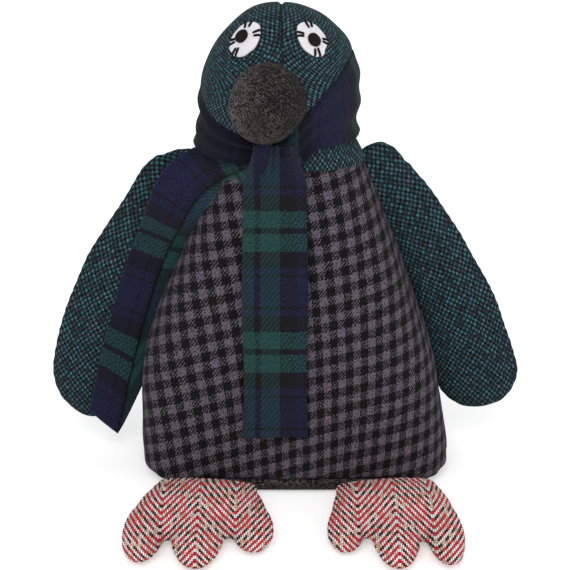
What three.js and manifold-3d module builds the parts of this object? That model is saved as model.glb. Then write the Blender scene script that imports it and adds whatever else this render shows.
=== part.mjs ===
// Weighted fabric door stop: a stuffed penguin that stands on its base and wears a knotted scarf.
// Millimetres, +Z up. The face looks along -Y. The origin is at the centre of the base, on the floor.

import * as THREE from 'three'
import Module from 'manifold-3d'

const wasm = await Module()
wasm.setup()
const { Manifold, Mesh } = wasm

// Cloth layers, and the clearance between sewn neighbours
const CLEARANCE = 0.3
const COVER_CLOTH = 2.0
const FELT = 1.6
const SCARF_CLOTH = 3.2

// Heights above the floor: the head keeps its own height when the whole changes
const TOTAL_HEIGHT = 300
const HEM_HEIGHT = 10
const HEAD_HEIGHT = 99
const NECK_RISE = 15
const HEAD_DOME = 58
const SHOULDER_HEIGHT = TOTAL_HEIGHT - HEAD_HEIGHT
const NECK_HEIGHT = SHOULDER_HEIGHT + NECK_RISE
const HEAD_MIDDLE_HEIGHT = TOTAL_HEIGHT - HEAD_DOME

// Body, half sizes seen from above; the squareness is the power of the rounded outline
const BODY_HALF_WIDTH = 99.5
const BODY_HALF_DEPTH = 65
const BODY_SQUARENESS = 3.8
const SHOULDER_HALF_WIDTH = 45
const SHOULDER_HALF_DEPTH = 43
const SHOULDER_SQUARENESS = 2.2
const SHOULDER_SHIFT = -4
const BODY_TAPER = 1.5
const BASE_EDGE_TURN = 8

// Sand bag in its pocket
const SAND_BAG_HALF_WIDTH = 78
const SAND_BAG_HALF_DEPTH = 46
const SAND_BAG_HEIGHT = 66
const SAND_BAG_ROUNDING = 14

// Head, which leans to one side of the body
const HEAD_SHIFT = -10.7
const NECK_HALF_WIDTH = 44
const NECK_HALF_DEPTH = 42
const HEAD_HALF_WIDTH = 48
const HEAD_HALF_DEPTH = 47
const HEAD_SEAM_SHIFT = -9

// Beak: where its root is, where it points and how big it is
const BEAK_SHIFT = -15.5
const BEAK_SET_BACK = 13
const BEAK_RISE = 6
const BEAK_ROOT = [BEAK_SHIFT, BEAK_SET_BACK - HEAD_HALF_DEPTH, HEAD_MIDDLE_HEIGHT + BEAK_RISE]
const BEAK_AIM = [-0.19, -0.98, -0.01]
const BEAK_LENGTH = 49
const BEAK_HALF_WIDTH = 22.8
const BEAK_HALF_HEIGHT = 24.6
const BEAK_BULGE = 2.5

// Eyes: felt patches on the brow
const EYE_SPREAD = 20
const EYE_DROP = 17.5
const EYE_LEAN = 0.15
const EYE_HALF_WIDTH = 9.6
const EYE_HALF_LENGTH = 12.0
const PUPIL_HALF_WIDTH = 4.1
const PUPIL_HALF_LENGTH = 4.4
const LEFT_PUPIL_SLIDE = [-2.2, 0.6]
const RIGHT_PUPIL_SLIDE = [-0.4, -1.6]

// Flippers: long stuffed leaves that hang from the shoulders
const FLIPPER_ROOT_HALF_WIDTH = 16
const FLIPPER_HALF_WIDTH = 28.5
const FLIPPER_TIP_ROUND = 0.14
const FLIPPER_ROOT_HALF_THICKNESS = 6
const FLIPPER_HALF_THICKNESS = 9
const FLIPPER_ROOT_RISE = 5
const FLIPPER_ROOT_HEIGHT = SHOULDER_HEIGHT + FLIPPER_ROOT_RISE
const RIGHT_FLIPPER = {
  root: [SHOULDER_HALF_WIDTH - 5, 3, FLIPPER_ROOT_HEIGHT],
  bend: [BODY_HALF_WIDTH + 13.5, 7, FLIPPER_ROOT_HEIGHT - 84],
  tip: [BODY_HALF_WIDTH + 24.5, 13, 27],
}
const LEFT_FLIPPER = {
  root: [-SHOULDER_HALF_WIDTH - 9, 3, FLIPPER_ROOT_HEIGHT],
  bend: [-BODY_HALF_WIDTH - 27.5, 6, FLIPPER_ROOT_HEIGHT - 61],
  tip: [-BODY_HALF_WIDTH - 37.5, 12, 20],
}

// Feet: pads with three toes that lie forward on the floor
const FOOT_SPREAD = 58.5
const FOOT_TUCK = 8
const FOOT_HEEL = FOOT_TUCK - BODY_HALF_DEPTH
const FOOT_LENGTH = 106
const FOOT_HALF_WIDTH = 41.5
const HEEL_HALF_WIDTH = 28
const PAD_LENGTH = 70
const FOOT_CROWN = 21
const HEEL_CROWN = 9
const TOE_CROWN = 18
const SEAM_LEVEL = 7
const OUTER_TOE_LENGTH = 93
const INNER_TOE_LENGTH = 87
const SIDE_TOE_SPREAD = 31
const SIDE_TOE_HALF_WIDTH = 13
const MIDDLE_TOE_HALF_WIDTH = 17
const TOE_MIDDLE = 0.58

// Scarf: a wrap round the neck, a knot under the beak and two tails
const WRAP_LOWER_RISE = 11
const WRAP_FRONT_WIDTH = 15
const WRAP_LOWER_EDGE = SHOULDER_HEIGHT + WRAP_LOWER_RISE
const WRAP_FRONT_TOP = WRAP_LOWER_EDGE + WRAP_FRONT_WIDTH
const WRAP_SIDE_RISE = 34
const WRAP_SKEW = 36
const WRAP_THICKNESS = 4.6
const KNOT_SHIFT = -12
const KNOT_RISE = 18
const KNOT_CENTRE = [KNOT_SHIFT, SHOULDER_HEIGHT + KNOT_RISE]
const KNOT_HALF_WIDTH = 14.5
const KNOT_HALF_HEIGHT = 9.5
const KNOT_FORWARD = 12
const FRONT_TAIL_SHIFT = -13
const FRONT_TAIL_GATHER = 0.62
const FRONT_TAIL_LIFT_START = 22
const FRONT_TAIL_LIFT_LENGTH = 34
const FRONT_TAIL_HALF_WIDTH = 19.8
const FRONT_TAIL_END = 40.5
const SIDE_TAIL_HALF_WIDTH = 16.5
const SIDE_TAIL_START = [KNOT_SHIFT - 14, SHOULDER_HEIGHT + 12]
const SIDE_TAIL_SHOULDER = [-SHOULDER_HALF_WIDTH - 25, SHOULDER_HEIGHT - 3]
const SIDE_TAIL_BEND = [3 - BODY_HALF_WIDTH, SHOULDER_HEIGHT - 76]
const SIDE_TAIL_END = [-BODY_HALF_WIDTH - 18.5, 15]
const SIDE_TAIL_FOLD = 0.4
const SIDE_TAIL_FOLD_DEPTH = 0.9
const SIDE_TAIL_TILT = 12

const lerp = (a, b, t) => a + (b - a) * t
const clamp = (t) => Math.min(1, Math.max(0, t))
const smooth = (t) => clamp(t) ** 2 * (3 - 2 * clamp(t))
const round = (t) => Math.sqrt(Math.max(0, 1 - t * t))

// A closed solid from its corner points and triangles
function solid(points, triangles) {
  let volume = 0
  for (const [i, j, k] of triangles) {
    const [a, b, c] = [points[i], points[j], points[k]]
    volume += a[0] * (b[1] * c[2] - b[2] * c[1])
    volume += a[1] * (b[2] * c[0] - b[0] * c[2])
    volume += a[2] * (b[0] * c[1] - b[1] * c[0])
  }
  const faces = volume > 0 ? triangles : triangles.map(([i, j, k]) => [i, k, j])
  const mesh = new Mesh({
    numProp: 3,
    vertProperties: Float32Array.from(points.flat()),
    triVerts: Uint32Array.from(faces.flat()),
  })
  return new Manifold(mesh)
}

// A solid through a row of loops with the same number of points, closed by a point at each end
function loft(loops, first, last) {
  const count = loops[0].length
  const points = [first, ...loops.flat(), last]
  const end = points.length - 1
  const at = (row, i) => 1 + row * count + (i % count)
  const triangles = []
  for (let i = 0; i < count; i++) {
    triangles.push([0, at(0, i + 1), at(0, i)])
    triangles.push([end, at(loops.length - 1, i), at(loops.length - 1, i + 1)])
    for (let row = 0; row + 1 < loops.length; row++) {
      triangles.push([at(row, i), at(row, i + 1), at(row + 1, i + 1)])
      triangles.push([at(row, i), at(row + 1, i + 1), at(row + 1, i)])
    }
  }
  return solid(points, triangles)
}

// A ring solid through loops that come back to the first one
function ringLoft(loops) {
  const count = loops[0].length
  const at = (row, i) => (row % loops.length) * count + (i % count)
  const triangles = []
  for (let row = 0; row < loops.length; row++) {
    for (let i = 0; i < count; i++) {
      triangles.push([at(row, i), at(row, i + 1), at(row + 1, i + 1)])
      triangles.push([at(row, i), at(row + 1, i + 1), at(row + 1, i)])
    }
  }
  return solid(loops.flat(), triangles)
}

// A sheet of cloth between an outer and an inner surface, both functions of u and v from 0 to 1
function sheet(outer, inner, across, along) {
  const loops = []
  for (let row = 0; row <= along; row++) {
    const loop = []
    for (let i = 0; i <= across; i++) {
      loop.push(outer(i / across, row / along))
    }
    for (let i = across; i >= 0; i--) {
      loop.push(inner(i / across, row / along))
    }
    loops.push(loop)
  }
  return stripLoft(loops)
}

// A solid through loops of a flat section, whose two ends are closed as strips
function stripLoft(loops) {
  const count = loops[0].length
  const at = (row, i) => row * count + (i % count)
  const lastRow = loops.length - 1
  const triangles = []
  for (let i = 0; i < count; i++) {
    for (let row = 0; row < lastRow; row++) {
      triangles.push([at(row, i), at(row, i + 1), at(row + 1, i + 1)])
      triangles.push([at(row, i), at(row + 1, i + 1), at(row + 1, i)])
    }
  }
  for (let i = 0; i + 1 < count / 2; i++) {
    const mate = count - 1 - i
    triangles.push([at(0, i), at(0, mate), at(0, mate - 1)])
    triangles.push([at(0, i), at(0, mate - 1), at(0, i + 1)])
    triangles.push([at(lastRow, i), at(lastRow, mate - 1), at(lastRow, mate)])
    triangles.push([at(lastRow, i), at(lastRow, i + 1), at(lastRow, mate - 1)])
  }
  return solid(loops.flat(), triangles)
}

// The body's level section: below the hem the base cloth turns in
function bodySection(z) {
  const up = clamp((z - HEM_HEIGHT) / (SHOULDER_HEIGHT - HEM_HEIGHT))
  const taper = up ** BODY_TAPER
  const turn = BASE_EDGE_TURN * (1 - round(clamp((HEM_HEIGHT - z) / HEM_HEIGHT)))
  return {
    shift: lerp(0, SHOULDER_SHIFT, taper),
    width: lerp(BODY_HALF_WIDTH, SHOULDER_HALF_WIDTH, taper) - turn,
    depth: lerp(BODY_HALF_DEPTH, SHOULDER_HALF_DEPTH, taper) - turn,
    power: lerp(BODY_SQUARENESS, SHOULDER_SQUARENESS, up),
  }
}

// The head's level section: a dome on a neck that spreads to the shoulders
function headSection(z, grow = 0) {
  const dome = TOTAL_HEIGHT - HEAD_MIDDLE_HEIGHT
  const spread = 1 - smooth((z - SHOULDER_HEIGHT) / (NECK_HEIGHT - SHOULDER_HEIGHT))
  const rise = smooth((z - NECK_HEIGHT) / (HEAD_MIDDLE_HEIGHT - NECK_HEIGHT))
  const cap = round(clamp((z - HEAD_MIDDLE_HEIGHT) / (dome + grow)))
  const width = lerp(lerp(NECK_HALF_WIDTH, HEAD_HALF_WIDTH, rise), SHOULDER_HALF_WIDTH, spread)
  const depth = lerp(lerp(NECK_HALF_DEPTH, HEAD_HALF_DEPTH, rise), SHOULDER_HALF_DEPTH, spread)
  return {
    shift: lerp(HEAD_SHIFT, SHOULDER_SHIFT, spread),
    width: (width + grow) * cap,
    depth: (depth + grow) * cap,
    power: lerp(2, SHOULDER_SQUARENESS, spread),
  }
}

// The point of a section at an angle round +Z, with an outward allowance
function sectionPoint(section, angle, z, grow = 0) {
  const c = Math.abs(Math.cos(angle) / (section.width + grow)) ** section.power
  const s = Math.abs(Math.sin(angle) / (section.depth + grow)) ** section.power
  const radius = (c + s) ** (-1 / section.power)
  return [section.shift + radius * Math.cos(angle), radius * Math.sin(angle), z]
}

function sectionLoop(section, z, count, grow = 0) {
  const loop = []
  for (let i = 0; i < count; i++) {
    loop.push(sectionPoint(section, (i / count) * 2 * Math.PI, z, grow))
  }
  return loop
}

// The angle of a step round the body: the steps crowd at the rounded corners
function bodyAngle(step) {
  const even = (step / BODY_STEPS) * 2 * Math.PI
  const bend = 2 / ((BODY_SQUARENESS + SHOULDER_SQUARENESS) / 2)
  const x = BODY_HALF_WIDTH * Math.sign(Math.cos(even)) * Math.abs(Math.cos(even)) ** bend
  const y = BODY_HALF_DEPTH * Math.sign(Math.sin(even)) * Math.abs(Math.sin(even)) ** bend
  const turns = Math.floor(step / BODY_STEPS)
  const angle = Math.atan2(y, x)
  return (angle < -1e-9 ? angle + 2 * Math.PI : Math.max(0, angle)) + turns * 2 * Math.PI
}

function bodyLoop(z, grow = 0, level = z) {
  const section = bodySection(z)
  const loop = []
  for (let step = 0; step < BODY_STEPS; step++) {
    loop.push(sectionPoint(section, bodyAngle(step), level, grow))
  }
  return loop
}

// How far forward a section's surface is at a given x, or null beside it
function sectionFront(section, x, grow = 0) {
  const across = Math.abs(x - section.shift) / (section.width + grow)
  if (across >= 1) return null
  return -(section.depth + grow) * (1 - across ** section.power) ** (1 / section.power)
}

const BASE_LEVELS = [0, 0.12, 0.32, 0.6, 0.85].map((part) => part * HEM_HEIGHT)
const BODY_ROWS = 9
const BODY_STEPS = 40
const SEAM_STEP = 1

// The whole stuffed body, grown by an allowance: the tool that trims what rests on it
function bodySolid(grow, bottom = -grow, top = SHOULDER_HEIGHT + grow) {
  const levels = [bottom, ...BASE_LEVELS.filter((z) => z > bottom + 0.5)]
  for (let row = 0; row <= BODY_ROWS; row++) {
    levels.push(lerp(HEM_HEIGHT, top, row / BODY_ROWS))
  }
  const loops = levels.map((z) => bodyLoop(Math.max(0, z), grow, z))
  return loft(loops, [0, 0, bottom], [SHOULDER_SHIFT, 0, top])
}

// Front or back panel of the body between the side seams
function bodyPanel(fromStep, toStep) {
  const surface = (grow) => (u, v) => {
    const z = lerp(HEM_HEIGHT + CLEARANCE / 2, SHOULDER_HEIGHT - CLEARANCE, v)
    const section = bodySection(z)
    const step = Math.round(lerp(fromStep, toStep, u))
    const seam = (CLEARANCE / 2 / section.width) * (u === 0 ? 1 : u === 1 ? -1 : 0)
    return sectionPoint(section, bodyAngle(step) + seam, z, grow)
  }
  return sheet(surface(0), surface(-COVER_CLOTH), toStep - fromStep, BODY_ROWS)
}

function bellyPanel() {
  return bodyPanel(BODY_STEPS / 2 - SEAM_STEP, BODY_STEPS + SEAM_STEP)
}

function backPanel() {
  return bodyPanel(SEAM_STEP, BODY_STEPS / 2 - SEAM_STEP)
}

// The base cloth is a shallow tray whose rim meets the panels at the hem
function basePanel() {
  const rim = HEM_HEIGHT - CLEARANCE / 2
  const above = HEM_HEIGHT + COVER_CLOTH
  const outer = [...BASE_LEVELS, rim].map((z) => bodyLoop(z))
  const levels = [COVER_CLOTH, ...BASE_LEVELS.filter((z) => z > COVER_CLOTH + 0.5), above]
  const hollow = levels.map((z) => bodyLoop(z, -COVER_CLOTH))
  const tray = loft(outer, [0, 0, 0], [0, 0, rim])
  return tray.subtract(loft(hollow, [0, 0, COVER_CLOTH], [0, 0, above]))
}

// The sand bag, grown by an allowance; the allowance below opens the pocket downwards
function sandBagSolid(grow, below = 0) {
  const floor = COVER_CLOTH + CLEARANCE
  const top = floor + SAND_BAG_HEIGHT
  const section = (inset) => ({
    shift: 0,
    width: SAND_BAG_HALF_WIDTH - inset,
    depth: SAND_BAG_HALF_DEPTH - inset,
    power: BODY_SQUARENESS,
  })
  const loops = []
  for (let row = 0; row <= 4; row++) {
    const turn = round(1 - row / 4)
    const inset = below > 0 ? 0 : SAND_BAG_ROUNDING * (1 - turn)
    const z = below > 0 ? floor - below + row : floor + SAND_BAG_ROUNDING * (row / 4)
    loops.push(sectionLoop(section(inset), z, 24, grow))
  }
  for (let row = 0; row <= 4; row++) {
    const inset = SAND_BAG_ROUNDING * (1 - round(row / 4.4))
    const z = top - SAND_BAG_ROUNDING * (1 - row / 4) + grow
    loops.push(sectionLoop(section(inset), z, 24, grow))
  }
  const bottom = loops[0][0][2]
  return loft(loops, [0, 0, bottom], [0, 0, top + grow])
}

// The stuffing fills the cover, with a pocket for the sand bag
function filling() {
  const layer = COVER_CLOTH + 2 * CLEARANCE
  const core = bodySolid(-layer, layer, SHOULDER_HEIGHT - CLEARANCE)
  return core.subtract(sandBagSolid(CLEARANCE, 6))
}

// The stuffed head and neck, grown by an allowance
function headSolid(grow) {
  const neckRows = 7
  const domeRows = 9
  const levels = []
  for (let row = 0; row <= neckRows; row++) {
    levels.push(lerp(SHOULDER_HEIGHT, HEAD_MIDDLE_HEIGHT, row / neckRows))
  }
  levels[0] -= grow
  const dome = TOTAL_HEIGHT - HEAD_MIDDLE_HEIGHT + grow
  for (let row = 1; row < domeRows; row++) {
    levels.push(HEAD_MIDDLE_HEIGHT + dome * Math.sin((row / domeRows) * Math.PI / 2))
  }
  const loops = levels.map((z) => sectionLoop(headSection(z, grow), z, 36))
  return loft(loops, [SHOULDER_SHIFT, 0, levels[0]], [HEAD_SHIFT, 0, TOTAL_HEIGHT + grow])
}

// The head is sewn from two halves that meet at the seam over the brow
function headHalf(side) {
  const cut = HEAD_SEAM_SHIFT + side * CLEARANCE / 2
  return headSolid(0).trimByPlane([side, 0, 0], side * cut)
}

// The beak: a blunt stuffed cone, grown by an allowance
function beakSolid(grow) {
  const aim = new THREE.Vector3(...BEAK_AIM).normalize()
  const side = new THREE.Vector3(0, 0, 1).cross(aim).normalize()
  const up = aim.clone().cross(side)
  const root = new THREE.Vector3(...BEAK_ROOT)
  const place = (along, x, y) => root.clone()
    .addScaledVector(aim, along).addScaledVector(side, x).addScaledVector(up, y).toArray()
  const rows = 9
  const count = 26
  const loops = []
  for (let row = 0; row < rows; row++) {
    const reach = Math.sin((row / rows) * Math.PI / 2)
    const size = (1 - reach ** BEAK_BULGE) ** 0.6
    const loop = []
    for (let i = 0; i < count; i++) {
      const angle = (i / count) * 2 * Math.PI
      const x = (BEAK_HALF_WIDTH * size + grow) * Math.cos(angle)
      const y = (BEAK_HALF_HEIGHT * size + grow) * Math.sin(angle)
      loop.push(place(reach * BEAK_LENGTH, x, y))
    }
    loops.push(loop)
  }
  return loft(loops, place(0, 0, 0), place(BEAK_LENGTH + grow, 0, 0))
}

// A felt patch on the brow: side is -1 or 1, from and to are the allowances of its two faces
function browPatch(side, halfWidth, halfLength, from, to, slideX = 0, slideUp = 0) {
  const radii = (grow) => [
    HEAD_HALF_WIDTH + grow,
    HEAD_HALF_DEPTH + grow,
    HEAD_DOME + grow,
  ]
  const [a, b, c] = radii(0)
  const x = side * EYE_SPREAD
  const z = HEAD_DOME - EYE_DROP
  const y = -b * Math.sqrt(Math.max(0.05, 1 - (x / a) ** 2 - (z / c) ** 2))
  const centre = new THREE.Vector3(x, y, z)
  const normal = new THREE.Vector3(x / a ** 2, y / b ** 2, z / c ** 2).normalize()
  const across = new THREE.Vector3(-normal.y, normal.x, 0).normalize()
  const up = normal.clone().cross(across)
  if (up.z < 0) up.negate()
  if (across.x < 0) across.negate()
  const lean = new THREE.Matrix4().makeRotationAxis(across.clone().cross(up), side * EYE_LEAN)
  across.applyMatrix4(lean)
  up.applyMatrix4(lean)
  const onBrow = (p, q, grow) => {
    const start = centre.clone().addScaledVector(across, p + slideX).addScaledVector(up, q + slideUp)
    const r = radii(grow)
    const s = start.toArray().map((value, i) => value / r[i])
    const n = normal.toArray().map((value, i) => value / r[i])
    const dot = (m, k) => m[0] * k[0] + m[1] * k[1] + m[2] * k[2]
    const half = dot(s, n) / dot(n, n)
    const reach = -half + Math.sqrt(half * half - (dot(s, s) - 1) / dot(n, n))
    const point = start.addScaledVector(normal, reach)
    return [point.x + HEAD_SHIFT, point.y, point.z + HEAD_MIDDLE_HEIGHT]
  }
  const rings = [[0.6, from], [1, from], [1, to - 0.25], [0.93, to], [0.6, to]]
  const loops = rings.map(([size, grow]) => {
    const loop = []
    for (let i = 0; i < 24; i++) {
      const angle = (i / 24) * 2 * Math.PI
      const egg = 1 - 0.08 * Math.sin(angle)
      const p = size * halfWidth * egg * Math.cos(angle)
      loop.push(onBrow(p, size * halfLength * Math.sin(angle), grow))
    }
    return loop
  })
  return loft(loops, onBrow(0, 0, from), onBrow(0, 0, to))
}

function eyeWhite(side) {
  return browPatch(side, EYE_HALF_WIDTH, EYE_HALF_LENGTH, CLEARANCE, CLEARANCE + FELT)
}

function pupil(side) {
  const from = 2 * CLEARANCE + FELT
  const [slideX, slideUp] = side < 0 ? LEFT_PUPIL_SLIDE : RIGHT_PUPIL_SLIDE
  return browPatch(side, PUPIL_HALF_WIDTH, PUPIL_HALF_LENGTH, from, from + FELT, slideX, slideUp)
}

// The flipper's middle line, and its half width and half thickness along it
function flipperLine(shape, t) {
  const mix = (i) => (1 - t) ** 2 * shape.root[i] + 2 * t * (1 - t) * shape.bend[i] + t * t * shape.tip[i]
  return [mix(0), mix(1), mix(2)]
}

function flipperSize(t) {
  const body = 1 - FLIPPER_TIP_ROUND
  const tip = round(clamp((t - body) / FLIPPER_TIP_ROUND))
  const root = round(clamp((0.06 - t) / 0.06))
  const grown = clamp(t / body)
  return {
    width: lerp(FLIPPER_ROOT_HALF_WIDTH, FLIPPER_HALF_WIDTH, grown) * tip * root,
    thickness: lerp(FLIPPER_ROOT_HALF_THICKNESS, FLIPPER_HALF_THICKNESS, grown) * Math.sqrt(tip * root),
  }
}

function flipperSolid(shape, grow) {
  const steps = [0.006, 0.03]
  for (let i = 0; i <= 11; i++) {
    steps.push(lerp(0.06, 1 - FLIPPER_TIP_ROUND, i / 11))
  }
  for (let i = 1; i <= 4; i++) {
    steps.push(1 - FLIPPER_TIP_ROUND * (1 - Math.sin((i / 4.4) * Math.PI / 2)))
  }
  const loops = steps.map((t) => {
    const centre = flipperLine(shape, t)
    const before = flipperLine(shape, t - 0.01)
    const after = flipperLine(shape, t + 0.01)
    const run = Math.hypot(after[0] - before[0], after[2] - before[2])
    const across = [(after[2] - before[2]) / run, -(after[0] - before[0]) / run]
    const size = flipperSize(t)
    const loop = []
    for (let i = 0; i < 20; i++) {
      const angle = (i / 20) * 2 * Math.PI
      const w = (size.width + grow) * Math.cos(angle)
      const h = (size.thickness + grow) * Math.sin(angle)
      loop.push([centre[0] + across[0] * w, centre[1] + h, centre[2] + across[1] * w])
    }
    return loop
  })
  return loft(loops, flipperLine(shape, -0.001 * (1 + grow)), flipperLine(shape, 1 + 0.002 * grow))
}

function flipper(shape) {
  return flipperSolid(shape, 0).subtract(bodySolid(CLEARANCE)).subtract(headSolid(CLEARANCE))
}

// A stuffed lobe that lies on the floor; its line, half width, crown and sole are functions of t
function lobe(line, halfWidth, crown, sole, rows, count) {
  const loops = []
  for (let row = 0; row <= rows; row++) {
    const t = row / rows
    const [x, y] = line(t)
    const loop = []
    for (let i = 0; i < count; i++) {
      const angle = (i / count) * 2 * Math.PI
      const up = Math.sin(angle)
      const rise = up > 0 ? crown(t) * up : -sole(t) * Math.abs(up) ** 0.6
      const out = Math.sign(Math.cos(angle)) * Math.abs(Math.cos(angle)) ** 0.85
      loop.push([x + halfWidth(t) * out, y, SEAM_LEVEL + rise])
    }
    loops.push(loop)
  }
  const [startX, startY] = line(0)
  const [endX, endY] = line(1)
  return loft(loops, [startX, startY, SEAM_LEVEL], [endX, endY, SEAM_LEVEL])
}

// The pad widens from the heel at the hem and ends in a rounded front between the toes
function footPad(x0) {
  const along = (t) => Math.sin(t * Math.PI / 2)
  const line = (t) => [x0, FOOT_HEEL - PAD_LENGTH * along(t)]
  const end = (t) => Math.max(0.03, round(clamp((along(t) - 0.7) / 0.3)))
  const halfWidth = (t) =>
    lerp(HEEL_HALF_WIDTH, FOOT_HALF_WIDTH, Math.sin(clamp(along(t) / 0.8) * Math.PI / 2)) * end(t) ** 0.7
  const crown = (t) =>
    (lerp(HEEL_CROWN, FOOT_CROWN, smooth(along(t) / 0.55)) - SEAM_LEVEL) * end(t)
  return lobe(line, halfWidth, crown, (t) => SEAM_LEVEL * end(t) ** 0.5, 10, 18)
}

// A toe is an egg that grows out of the pad, with its tip at the given reach from the heel
function toe(x0, spread, reach, halfWidth) {
  const middle = FOOT_LENGTH * TOE_MIDDLE
  const span = reach - middle
  const end = (t) => Math.max(0.03, Math.sin(t * Math.PI))
  const line = (t) => {
    const along = -Math.cos(t * Math.PI)
    return [x0 + spread * (1 + 0.07 * along), FOOT_HEEL - middle - span * along]
  }
  const crown = (t) => (TOE_CROWN - SEAM_LEVEL) * end(t) ** 0.8
  return lobe(line, (t) => halfWidth * end(t), crown, (t) => SEAM_LEVEL * end(t) ** 0.6, 9, 14)
}

// A foot: side is -1 for the left of the picture and 1 for the right
function foot(side) {
  const x0 = side * FOOT_SPREAD
  const outer = toe(x0, side * SIDE_TOE_SPREAD, OUTER_TOE_LENGTH, SIDE_TOE_HALF_WIDTH)
  const inner = toe(x0, -side * SIDE_TOE_SPREAD, INNER_TOE_LENGTH, SIDE_TOE_HALF_WIDTH)
  const middle = toe(x0, 0, FOOT_LENGTH, MIDDLE_TOE_HALF_WIDTH)
  return footPad(x0).add(outer).add(inner).add(middle).subtract(bodySolid(CLEARANCE))
}

// The wrap's upper edge: low under the beak, high at the sides and back, higher on the right
function wrapTop(angle) {
  const c = Math.cos(angle)
  const s = Math.sin(angle)
  if (s > 0) return WRAP_FRONT_TOP + WRAP_SIDE_RISE
  return WRAP_FRONT_TOP + WRAP_SIDE_RISE * c * c + WRAP_SKEW * c * s * s
}

function scarfWrap() {
  const profile = [[0, 0.2], [0.04, 0.75], [0.25, 1], [0.75, 1], [0.96, 0.75], [1, 0.2]]
  const loops = []
  const steps = 34
  for (let i = 0; i < steps; i++) {
    const angle = (i / steps) * 2 * Math.PI
    const level = (v) => lerp(WRAP_LOWER_EDGE, wrapTop(angle), v)
    const at = (v, grow) => sectionPoint(headSection(level(v)), angle, level(v), grow)
    const outer = profile.map(([v, size]) => at(v, WRAP_THICKNESS * size))
    const inner = [1, 0.66, 0.33, 0].map((v) => at(v, -1.5))
    loops.push([...outer, ...inner])
  }
  return ringLoft(loops)
}

// An egg-shaped lump of cloth
function lump(centre, radii, turn) {
  return Manifold.sphere(1, 12).scale(radii).rotate(turn).translate(centre)
}

// The knot: a loop on the left beside the broader fold that the front tail comes out of
function scarfKnot() {
  const [x, z] = KNOT_CENTRE
  const y = sectionFront(headSection(z), x) - WRAP_THICKNESS
  const narrow = KNOT_HALF_WIDTH * 0.42
  const broad = KNOT_HALF_WIDTH * 0.66
  const loop = lump([x - KNOT_HALF_WIDTH + narrow, y, z], [narrow, KNOT_FORWARD, KNOT_HALF_HEIGHT], [0, 10, 0])
  const fold = lump([x + KNOT_HALF_WIDTH - broad, y, z], [broad, KNOT_FORWARD, KNOT_HALF_HEIGHT], [0, -5, 0])
  return loop.add(fold)
}

// A tail is a ribbon: spot gives the middle, and bend how far each part of its width is set back
function ribbon(spot, halfWidth, bend, rows) {
  const across = 6
  const surface = (back) => (u, v) => {
    const side = u * 2 - 1
    const [x, y, z, dx, dz] = spot(v)
    const edge = 1 - 0.5 * Math.abs(side) ** 8
    const face = y + bend(side, v) - (back ? 0 : SCARF_CLOTH * edge)
    const w = halfWidth(v) * side
    return [x + dx * w, face + (back ? SCARF_CLOTH * 0.25 : 0), z + dz * w]
  }
  return sheet(surface(false), surface(true), across, rows)
}

function frontTail() {
  const top = KNOT_CENTRE[1] + KNOT_HALF_HEIGHT * 0.5
  const spot = (v) => {
    const z = lerp(top, FRONT_TAIL_END, v)
    const x = FRONT_TAIL_SHIFT + 2 * (1 - smooth(v / 0.2))
    const rest = sectionFront(z > SHOULDER_HEIGHT ? headSection(z) : bodySection(z), x)
    const lift = smooth((z - SHOULDER_HEIGHT + FRONT_TAIL_LIFT_START) / FRONT_TAIL_LIFT_LENGTH)
    const stand = (WRAP_THICKNESS + SCARF_CLOTH) * lift
    return [x, rest - CLEARANCE - stand, z, 1, 0]
  }
  const halfWidth = (v) => FRONT_TAIL_HALF_WIDTH * lerp(FRONT_TAIL_GATHER, 1, smooth(v / 0.17))
  return ribbon(spot, halfWidth, (side, v) => 1.5 * side * side * (1 - v), 14)
}

// How far forward the flipper's face is at a given x and z, or null beside it
function flipperFront(shape, x, z) {
  let best = null
  for (let t = 0; t <= 1.001; t += 0.02) {
    const [cx, cy, cz] = flipperLine(shape, t)
    const size = flipperSize(t)
    const away = Math.hypot(x - cx, z - cz) / Math.max(1, size.width)
    if (away < 1) {
      const front = cy - size.thickness * round(away)
      best = best === null ? front : Math.min(best, front)
    }
  }
  return best
}

// The side tail's middle line in the picture plane
function sideTailLine(t) {
  const spots = [SIDE_TAIL_START, SIDE_TAIL_SHOULDER, SIDE_TAIL_BEND, SIDE_TAIL_END]
  const weights = [(1 - t) ** 3, 3 * t * (1 - t) ** 2, 3 * t * t * (1 - t), t ** 3]
  return [0, 1].map((i) => spots.reduce((sum, spot, k) => sum + weights[k] * spot[i], 0))
}

function sideTailRest(t, tilt) {
  const [cx, cz] = sideTailLine(t)
  const [ax, az] = sideTailLine(t + 0.01)
  const run = Math.hypot(ax - cx, az - cz)
  let rest = 0
  for (const side of [-0.9, -0.45, 0, 0.45, 0.9]) {
    const x = cx - ((az - cz) / run) * SIDE_TAIL_HALF_WIDTH * side
    const z = cz + ((ax - cx) / run) * SIDE_TAIL_HALF_WIDTH * side
    const section = z > SHOULDER_HEIGHT ? headSection(z) : bodySection(z)
    const fronts = [sectionFront(section, x), flipperFront(LEFT_FLIPPER, x, z)]
    for (const front of fronts) {
      if (front !== null) rest = Math.min(rest, front + tilt * side)
    }
  }
  return rest
}

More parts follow.
